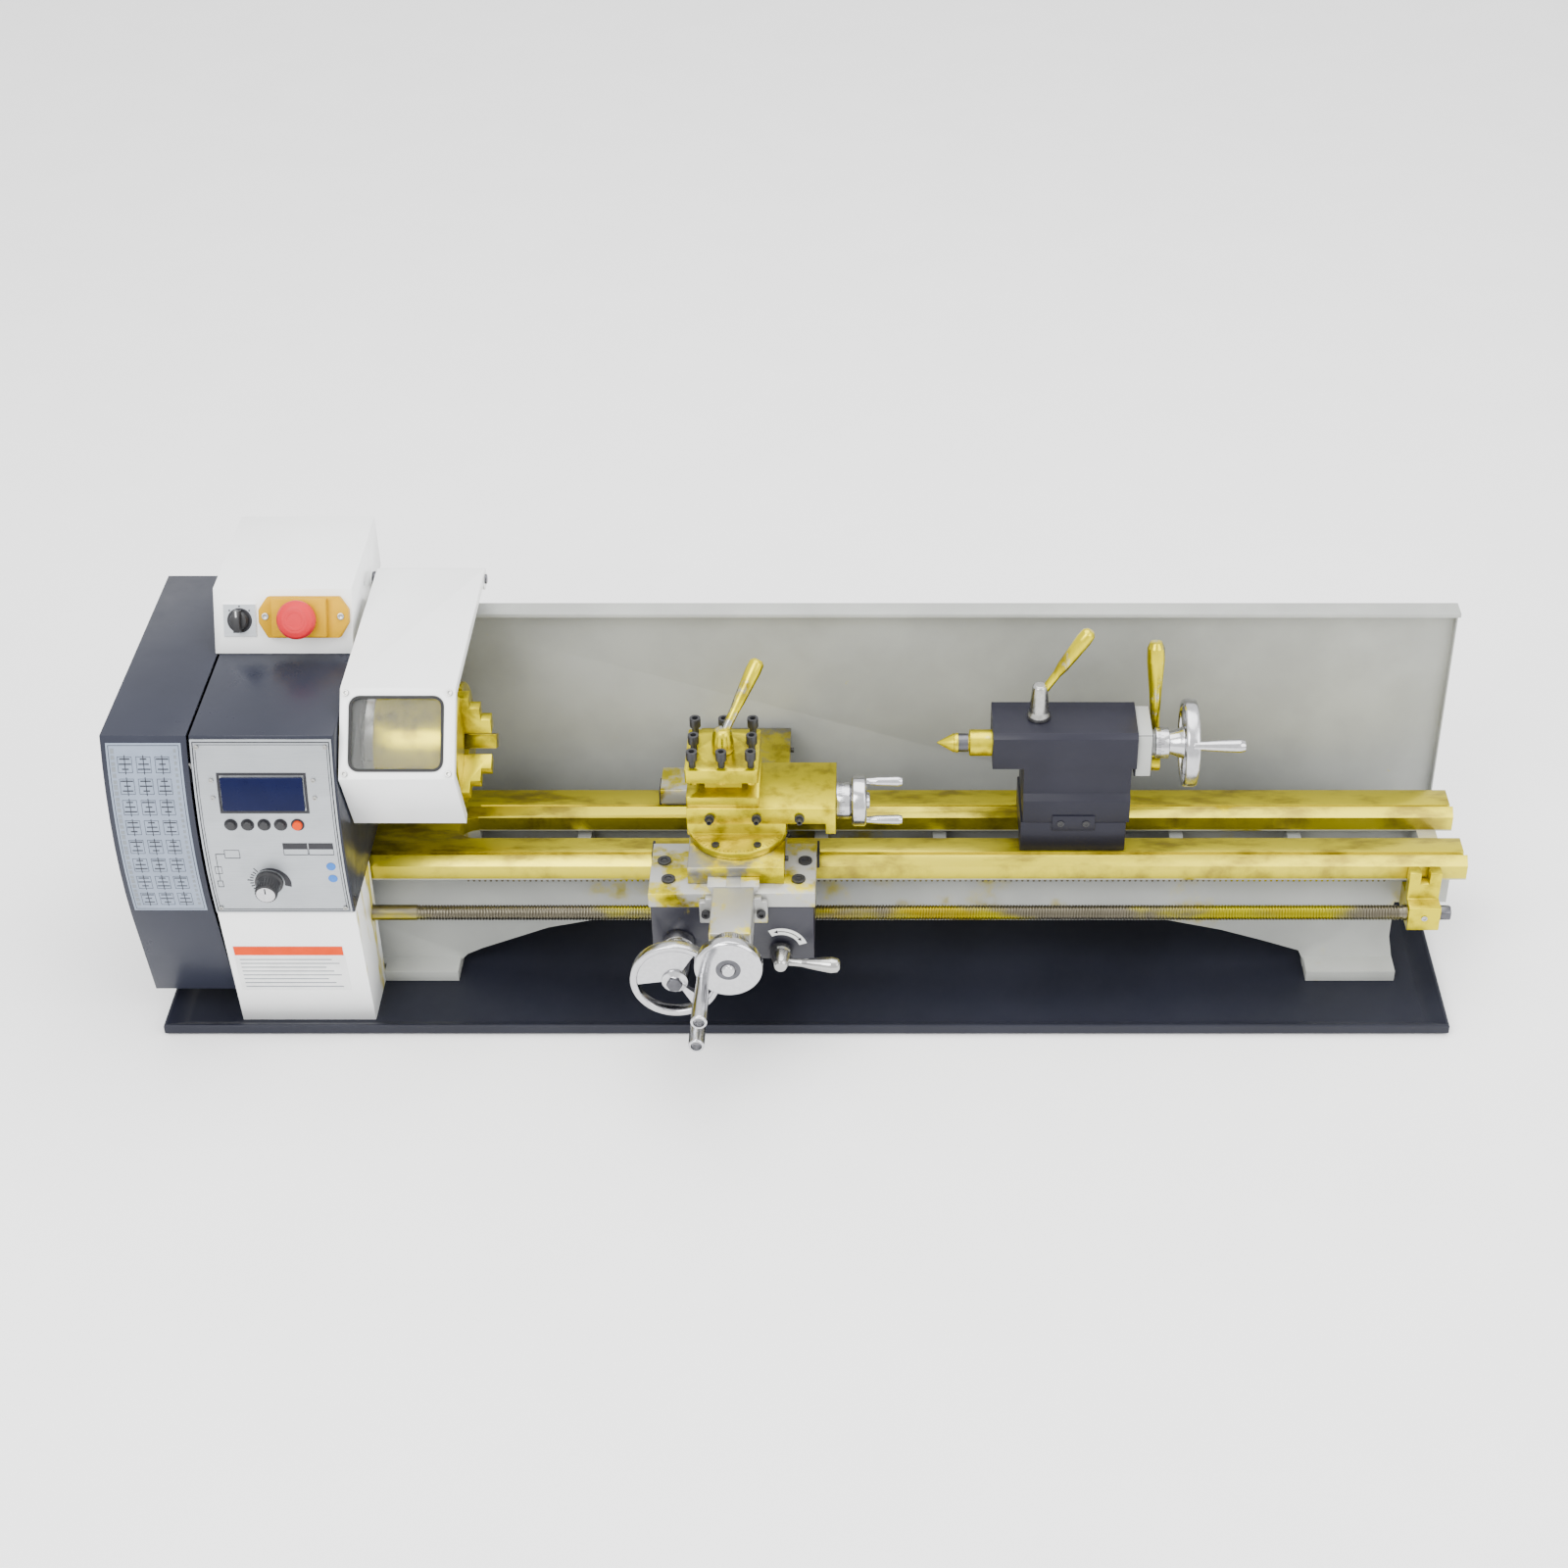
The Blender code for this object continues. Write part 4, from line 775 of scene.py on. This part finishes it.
def electrics():
    refined("stop_station", "yellow", 1.2)
    refined("stop_lid", "yellow", 1.8)
    plate = patch(-578, -546, 17.5, 49.5, 1.65, 2.1, on_face)
    piece("selector_plate", plate, "plate", "frame", "electrics_box")
    marks = [disc_on(on_face, *SELECTOR, ((1.9, 12.4), (2.4, 12.4), (2.4, 11.4)), 40)]
    for angle in (45, 90, 135):
        a = math.radians(angle)
        x, v = SELECTOR[0] + 14 * math.cos(a), SELECTOR[1] + 14 * math.sin(a)
        marks.append(patch(x - 0.8, x + 0.8, v - 0.8, v + 0.8, 2.0, 2.3, on_face))
    piece("selector_ring", joined(*marks), "ink", "frame", "electrics_box")
    handle = disc_on(on_face, *SELECTOR, ((2.45, 9.5), (5.2, 9.5), (9, 8)), 48)
    grip = patch(-565, -559, 22.5, 44.5, 5, 17, on_face)
    shape = joined(handle, grip)
    piece("selector_shown", shape, "black", "selector", "selector_switch", "selector_switch", bevel=0.8)
    pointer = patch(-562.6, -561.4, 38, 44, 16.9, 17.05, on_face)
    piece("selector_mark", pointer, "pale", "selector", "selector_switch")
    head = ((15, 7.9), (26, 7.9), (27.4, 17.8), (29.0, 19.2), (33.5, 19.2), (37.5, 17.0), (39.4, 12.5))
    head = disc_on(on_face, *STOP, head, 64)
    piece("mushroom_shown", head, "red", "mushroom", "stop_mushroom", "stop_mushroom")
    groove = ring("z", (0, 0), [(0, 7.2), (0, 10.2), (0.35, 9.8), (0.35, 7.6)], 48)
    groove = aimed(groove, on_face(*STOP, 39.3), on_face(*STOP, 45))
    piece("mushroom_ring", groove, "red", "mushroom", "stop_mushroom")
    screws = [screw_head(on_face(x, 38.5, 11.8), on_face(x, 38.5, 13.4), 3.4) for x in (-534, -459)]
    piece("station_screws", joined(*screws), "steel", "frame", "stop_station")


def assembled(name, shapes, material, body, node):
    """One piece joined from several shapes, shown in place of a CAD node."""
    return piece(name, joined(*shapes), material, body, node, node)


def dial_ticks(axis, centre, radius, start, end, count, body, node, name):
    """Fine graduations round a dial, every fifth one longer."""
    ticks = []
    for i in range(count):
        angle = 2 * math.pi * i / count
        far = end if i % 5 == 0 else start + (end - start) * 0.55
        side = 0.012 if i % 5 else 0.016
        low, high = radius - 0.4, radius + 0.06
        outline = [
            (centre[0] + r * math.cos(angle + s), centre[1] + r * math.sin(angle + s))
            for r, s in ((low, -side), (high, -side), (high, side), (low, side))
        ]
        ticks.append(prism(axis, outline, *sorted((start, far))))
    piece(name, joined(*ticks), "ink", body, node)


def hollow_handle(x, z, root, tip):
    """A turned handle with a recessed end, pointing at the operator."""
    profile = [
        (root, 0), (root, 6.2), (root - 6, 5.8), (root - 20, 6.6), (root - 45, 7.9), (tip + 1.5, 8.0),
        (tip, 7.2), (tip, 5.4), (tip + 8, 5.2), (tip + 8, 0),
    ]  # fmt: skip
    return lathe(profile, "y", (x, z), 40, 0.6)


def sector(axis, centre, inner, outer, low_deg, high_deg, low, high, steps=20):
    """A flat part of a ring between two angles."""
    angles = [math.radians(low_deg + (high_deg - low_deg) * i / steps) for i in range(steps + 1)]
    outline = [(centre[0] + outer * math.cos(a), centre[1] + outer * math.sin(a)) for a in angles]
    outline += [(centre[0] + inner * math.cos(a), centre[1] + inner * math.sin(a)) for a in reversed(angles)]
    return prism(axis, outline, low, high)


def ring(axis, centre, section, segments=96):
    """A closed ring from its section of (along, radius) pairs."""
    points, faces = [], []
    for along, radius in section:
        for i in range(segments):
            angle = 2 * math.pi * i / segments
            points.append(
                at(axis, along, centre[0] + radius * math.cos(angle), centre[1] + radius * math.sin(angle))
            )
    count = len(section)
    for row in range(count):
        for i in range(segments):
            a, b = row * segments, (row + 1) % count * segments
            j = (i + 1) % segments
            faces.append((a + i, a + j, b + j, b + i))
    return points, faces


def rim(axis, centre, middle, radius, width, depth, segments=96):
    """A handwheel rim with a rounded section."""
    section = []
    for i in range(20):
        a = 2 * math.pi * i / 20
        c, s = math.cos(a), math.sin(a)
        c, s = math.copysign(abs(c) ** 0.6, c), math.copysign(abs(s) ** 0.6, s)
        section.append((middle + width / 2 * c, radius + depth / 2 * s))
    return ring(axis, centre, section, segments)


def handwheels():
    x, z = HAND
    hub = lathe(
        [(-212, 0), (-212, 6), (-208, 7.5), (-206.5, 13), (-196, 14), (-190, 14.2), (-158, 14.2),
         (-157, 16.8), (-145.6, 16.8), (-145.4, 9), (-113.5, 9), (-113.5, 0)], "y", HAND)  # fmt: skip
    webs = [sector("y", HAND, 12, 38, 58, 188, -204, -198), sector("y", HAND, 12, 38, 298, 318, -204, -198)]
    assembled(
        "apron_handwheel_shown",
        [hub, rim("y", HAND, -201, 41, 12, 8), *webs, hollow_handle(x + 24, z - 26, -203, -272.9)],
        "alloy", "carriage_wheel", "apron_handwheel",
    )  # fmt: skip
    six = [(x + 8 * math.cos(math.pi * i / 3), z + 8 * math.sin(math.pi * i / 3)) for i in range(6)]
    nut = prism("y", six, -213, -206)
    piece("apron_wheel_nut", nut, "dark_steel", "carriage_wheel", "apron_handwheel", bevel=0.5)

    x, z = CROSS
    disc = [(-257.9, 0), (-257.9, 5.5), (-255, 7), (-254, 7.2), (-254, 11), (-254.5, 12.5), (-254.5, 31),
            (-252, 33), (-244, 33), (-242, 31), (-241, 20.5), (-222.5, 21), (-220.8, 20), (-218.6, 18.5),
            (-218.6, 4.5), (66, 4.5), (66, 0)]  # fmt: skip
    assembled(
        "cross_handwheel_shown",
        [lathe(disc, "y", CROSS, 96, 0.7), hollow_handle(x - 25, z - 11, -252, -318.9)],
        "alloy", "cross_wheel", "cross_handwheel",
    )  # fmt: skip
    face = ring("y", CROSS, [(-254.6, 7.6), (-254.6, 12), (-254.2, 12), (-254.2, 7.6)], 64)
    piece("cross_wheel_ring", face, "dark_steel", "cross_wheel", "cross_handwheel")
    dial_ticks("y", CROSS, 21, -223.5, -231, 80, "cross_wheel", "cross_handwheel", "cross_dial_marks")

    y, z = TOP
    disc = [(-99, 0), (-99, 4.5), (31.4, 4.5), (31.4, 18.6), (45, 18.6), (46, 16), (47, 24), (48.5, 26),
            (60, 26), (62, 24), (62, 9), (65, 8), (65, 0)]  # fmt: skip
    handles = []
    for sign in (1, -1):
        hy, hz = y + sign * 7, z + sign * 19
        taper = ((0, 3.6), (0.15, 3.4), (0.35, 4.4), (0.9, 5.2), (1, 4.2))
        handles.append(rod((58, hy, hz), (98, hy, hz), taper))
    shapes = [lathe(disc, "x", TOP, 80, 0.7), *handles]
    assembled("top_handwheel_shown", shapes, "alloy", "top_wheel", "top_handwheel")
    dial_ticks("x", TOP, 18.6, 33.5, 40, 60, "top_wheel", "top_handwheel", "top_dial_marks")

    y, z = 0.0, AXIS_Z
    hub = [(238, 0), (238, 6.2), (350.4, 6.2), (350.4, 13), (355, 14), (355.6, 16), (369, 16), (369.5, 11.5),
           (380, 15), (384, 17), (390, 16), (398, 12), (401.9, 7), (401.9, 0)]  # fmt: skip
    shapes = [lathe(hub, "x", SPINDLE, 80, 0.7), rim("x", SPINDLE, 390, 42, 14, 6.2)]
    for middle in (30, 150, 270):
        shapes.append(sector("x", SPINDLE, 12, 40.5, middle - 17, middle + 17, 385, 392, 8))
    y, z = y - 35.4, z + 20.5
    handle = rod((390, y, z), (442, y, z), ((0, 5), (0.2, 4.8), (0.5, 6), (0.9, 7), (1, 5.8)))
    assembled("tail_handwheel_shown", [*shapes, handle], "alloy", "tail_wheel", "tail_handwheel")
    dial_ticks("x", SPINDLE, 16, 357, 363.5, 60, "tail_wheel", "tail_handwheel", "tail_dial_marks")


def levers():
    x, z = NUT_LEVER
    hub = lathe([(-174, 0), (-174, 5.4), (-171, 7.6), (-157, 11.4), (-148, 11.5), (-145.6, 9.5), (-145.6, 5),
                 (-114, 5), (-114, 0)], "y", NUT_LEVER, 56)  # fmt: skip
    taper = ((0, 4), (0.36, 4), (0.45, 5.2), (0.7, 7.4), (0.85, 8.4), (0.96, 7), (1, 4))
    arm = rod((x, -164, z), (x + 60, -172, z + 1), taper)
    assembled("half_nut_lever_shown", [hub, arm], "lever", "nut_lever", "half_nut_lever")

    hub = [(282.9, 0), (282.9, 11), (293, 11), (303, 9.5), (307, 7.5), (308, 5), (308, 0)]
    hub = lathe(hub, "z", POST, 56)
    end = (POST[0] + 36, POST[1] + 43, 362)
    arm = rod((*POST, 299), end, ((0, 4.6), (0.35, 5), (0.45, 6), (0.85, 8), (0.96, 7.6), (1, 4.4)))
    assembled("tool_post_lever_shown", [hub, arm], "grease_bar", "post_lever", "tool_post_lever")

    hub = [(290.4, 0), (290.4, 12), (295, 12), (299, 10), (316, 8.8), (328, 7.5), (330, 5.5), (330, 0)]
    hub = lathe(hub, "z", (236, 0), 56)
    taper = ((0, 4), (0.34, 4.4), (0.46, 6.2), (0.86, 8), (0.96, 7.2), (1, 4))
    arm = rod((236, 0, 316), (285, 9, 388), taper)
    piece("quill_lock_shown", hub, "steel", "quill_lock", "quill_lock", "quill_lock")
    piece("quill_lock_arm", arm, "grease_bar", "quill_lock", "quill_lock")

    y, z = CLAMP
    hub = lathe([(300, 0), (300, 6.5), (351, 6.5), (351, 9.8), (364, 9.8), (364, 0)], "x", CLAMP, 48)
    arm = rod((358.5, y, z), (355, 45, 352), ((0, 4.6), (0.4, 5), (0.6, 6.6), (0.84, 9.2), (0.95, 9), (1, 6)))
    assembled("clamp_lever_shown", [hub, arm], "grease_bar", "tail_clamp", "clamp_lever")


def chuck_and_spindle():
    refined("chuck_body", "grease", 0.0)
    inner, outer = CHUCK_SKIN
    ring_band = ring("x", SPINDLE, [(-437.6, inner), (-437.6, outer), (-429.2, outer), (-429.2, inner)], 120)
    piece("chuck_backplate_band", ring_band, "steel", "spindle", "chuck_body")
    band = ring("x", SPINDLE, [(-427, inner), (-427, outer), (-364, outer), (-364, inner)], 120)
    piece("chuck_band", band, "grease", "spindle", "chuck_body")
    for i in (1, 2, 3):
        refined(f"chuck_jaw_{i}", "grease", 0.5)
    recolour("spindle", "steel")
    quill = [(166, 8.4), (166, 12.6), (167.2, 13.7), (300, 13.7), (300, 6.7), (232, 6.7), (232, 8.4)]
    piece("quill_shown", ring("x", SPINDLE, quill, 72), "grease", "quill", "quill", "quill")
    point = lathe([(133, 0), (134, 0.9), (150.5, 10.2), (151, 9.4), (152, 9.4), (152, 10.4), (155, 10.4),
                   (155, 8.4), (228, 8), (228, 0)], "x", SPINDLE, 56, 0.2)  # fmt: skip
    piece("centre_shown", point, "grease_bar", "quill", "centre", "centre")
    collar = ring("x", SPINDLE, [(155.2, 8), (155.2, 9.6), (165, 9.6), (165, 8)], 24)
    piece("centre_collar", collar, "dark_steel", "quill", "centre")


def post_and_fasteners():
    refined("tool_post", "grease", 0.5, below_m=0.2826)
    bolts, shanks = [], []
    for dx in (-29, 0, 29):
        for dy in (-29, 0, 29):
            if dx or dy:
                x, y = POST[0] + dx, POST[1] + dy
                lift = random.uniform(-1.2, 0.0)
                shanks.append(rod((x, y, 282.4), (x, y, 293), ((0, 3.5), (1, 3.5)), 20, 0))
                bolts.append(screw_head((x, y, 292 + lift), (x, y, 301.9 + lift), 5.6))
    piece("post_bolts", joined(*bolts, *shanks), "black", "tool_post", "tool_post")

    heads = []
    for x, y in ((-136, -122), (0, -92), (-6, -122), (-142, -92)):
        heads.append(screw_head((x, y, 176.8), (x, y, 179.2), 7.0))
    piece("saddle_screws", joined(*heads), "black", "carriage", "saddle")
    wipers = [box(-157.5, -155, -69, -44, 151, 167), box(11, 13.5, -69, -44, 151, 167)]
    wipers += [box(-157.5, -155, 40, 66, 151.3, 167), box(11, 13.5, 40, 66, 151.3, 167)]
    piece("way_wipers", joined(*wipers), "rubber", "carriage", "saddle")
    gib = [screw_head((x, -86, 227), (x, -95, 227), 2.9) for x in (-95, -48, -5)]
    gib += [screw_head((x, -86, 227), (x, -89.5, 227), 5.0) for x in (-95, -48, -5)]
    piece("top_gib_screws", joined(*gib), "black", "top_slide", "top_slide")
    gib = [screw_head((-20, y, 187), (-16.5, y, 187), 2.8) for y in (-100, -60, -10, 40, 90)]
    piece("cross_gib_screws", joined(*gib), "black", "cross_slide", "cross_slide")
    ear = [screw_head((x, -153, 159), (x, -157, 159), 4.6) for x in (-97.5, -42.5)]
    piece("housing_screws", joined(*ear), "black", "carriage", "cross_housing")
    cover = box(-77.2, -62.8, -145.4, -120, 184.6, 185.9)
    piece("screw_channel_cover", cover, "housing", "carriage", "saddle", bevel=0.3)
    swivel = [screw_head((x, -102.4, 205), (x, -102.4, 207), 4.0) for x in (-89, -47)]
    piece("swivel_screws", joined(*swivel), "black", "swivel", "swivel_base")
    marks = []
    for i in range(25):
        angle = -150 + 5 * i
        far = 49.6 if i % 4 == 0 else 47.6
        marks.append(sector("z", (-68, -66), 45.2, far, angle - 0.22, angle + 0.22, 204.9, 205.1, 1))
    piece("swivel_marks", joined(*marks), "ink", "swivel", "swivel_base")
    key = box(251, 295, -41.6, -39, 178, 196)
    piece("tailstock_key", key, "iron", "tailstock", "tailstock_body", bevel=0.5)
    key_screws = [screw_head((x, -41.6, 187), (x, -42.8, 187), 3.6) for x in (260, 286)]
    piece("tailstock_key_screws", joined(*key_screws), "black", "tailstock", "tailstock_body")
    plate = box(334, 350.2, -27.2, 27.2, 235.8, 286.2)
    piece("tailstock_end_plate", plate, "cast", "tailstock", "tailstock_body", bevel=1.2)
    oiler = screw_head((632.5, -94.8, 106), (632.5, -96.4, 106), 3.2)
    piece("bracket_oiler", oiler, "steel", "frame", "screw_bracket")
    splash = [screw_head((x, 126, 24), (x, 124.6, 24), 3.2) for x in (-380, 90, 600)]
    piece("splash_screws", joined(*splash), "steel", "frame", "back_splash")


def apron_plate():
    """A pale arc beside the half-nut lever, with a plain symbol."""
    x, z = NUT_LEVER
    arc = sector("y", (x, z), 19, 27, 18, 118, -145.2, -144.9, 24)
    piece("lever_arc", arc, "pale", "carriage", "apron")
    marks = [sector("y", (x, z), 22.6, 23.6, 38, 98, -145.3, -145.0, 16)]
    for end, tip in ((38, 28), (98, 108)):
        corners = [(20.8, end), (25.4, end), (23.1, tip)]
        flat = [(x + r * math.cos(math.radians(a)), z + r * math.sin(math.radians(a))) for r, a in corners]
        marks.append(prism("y", flat, -145.3, -145.0))
    piece("lever_arc_marks", joined(*marks), "ink", "carriage", "apron")


def studio():
    """A plain pale floor, an even world light and three soft lamps, placed in metres."""
    corners = [(x * FLOOR_HALF, y * FLOOR_HALF, -0.5) for x, y in ((-1, -1), (1, -1), (1, 1), (-1, 1))]
    coat = paint("floor_paint", (0.93, 0.93, 0.93), 0.7, 0.01, 0.0, 0.0)
    floor = mesh_object("floor", corners, [(0, 1, 2, 3)], coat)
    world = bpy.data.worlds.new("studio")
    world.use_nodes = True
    world.node_tree.nodes["Background"].inputs["Color"].default_value = (1, 1, 1, 1)
    world.node_tree.nodes["Background"].inputs["Strength"].default_value = 1.75
    bpy.context.scene.world = world
    for name, place, aim, size, energy in (
        ("key", (-1.3, -2.2, 2.6), (0, 0, 0.15), 1.8, 108),
        ("fill", (2.2, -1.6, 2.0), (0, 0, 0.15), 2.0, 60),
        ("top", (0.2, 0.4, 3.0), (0, 0, 0.1), 2.4, 90),
    ):
        lamp = bpy.data.lights.new(name, "AREA")
        lamp.energy, lamp.size = energy, size
        obj = bpy.data.objects.new(name, lamp)
        obj.location = place
        obj.rotation_euler = (Vector(aim) - Vector(place)).to_track_quat("-Z", "Y").to_euler()
        bpy.context.scene.collection.objects.link(obj)


def camera():
    lens = bpy.data.cameras.new("camera")
    lens.lens, lens.sensor_width = LENS, SENSOR
    lens.shift_x = SHIFT_X
    lens.clip_end = 50
    obj = bpy.data.objects.new("camera", lens)
    obj.location = CAMERA_PLACE_M
    obj.rotation_euler = (math.radians(CAMERA_TILT), 0, 0)
    bpy.context.scene.collection.objects.link(obj)
    bpy.context.scene.camera = obj


def cabinet_label():
    """A plain plate on the cabinet: an orange band over ruled lines."""
    piece("label_plate", patch(-577, -465, 48, 112, 0.02, 0.25, on_cabinet), "pale", "frame", "base_cabinet")
    band = patch(-576, -466, 98.5, 111, 0.2, 0.4, on_cabinet)
    piece("label_band", band, "orange", "frame", "base_cabinet")
    rules = []
    for i in range(8):
        z = 52.5 + 5.6 * i
        rules.append(patch(-572, -472 - 7 * (i % 3), z, z + 1.3, 0.2, 0.35, on_cabinet))
    piece("label_rules", joined(*rules), "grey_ink", "frame", "base_cabinet")


sheet_metal()
casting_pieces()
rack_teeth()
leadscrew()
panel()
gear_chart()
electrics()
handwheels()
levers()
chuck_and_spindle()
post_and_fasteners()
apron_plate()
cabinet_label()
studio()
camera()
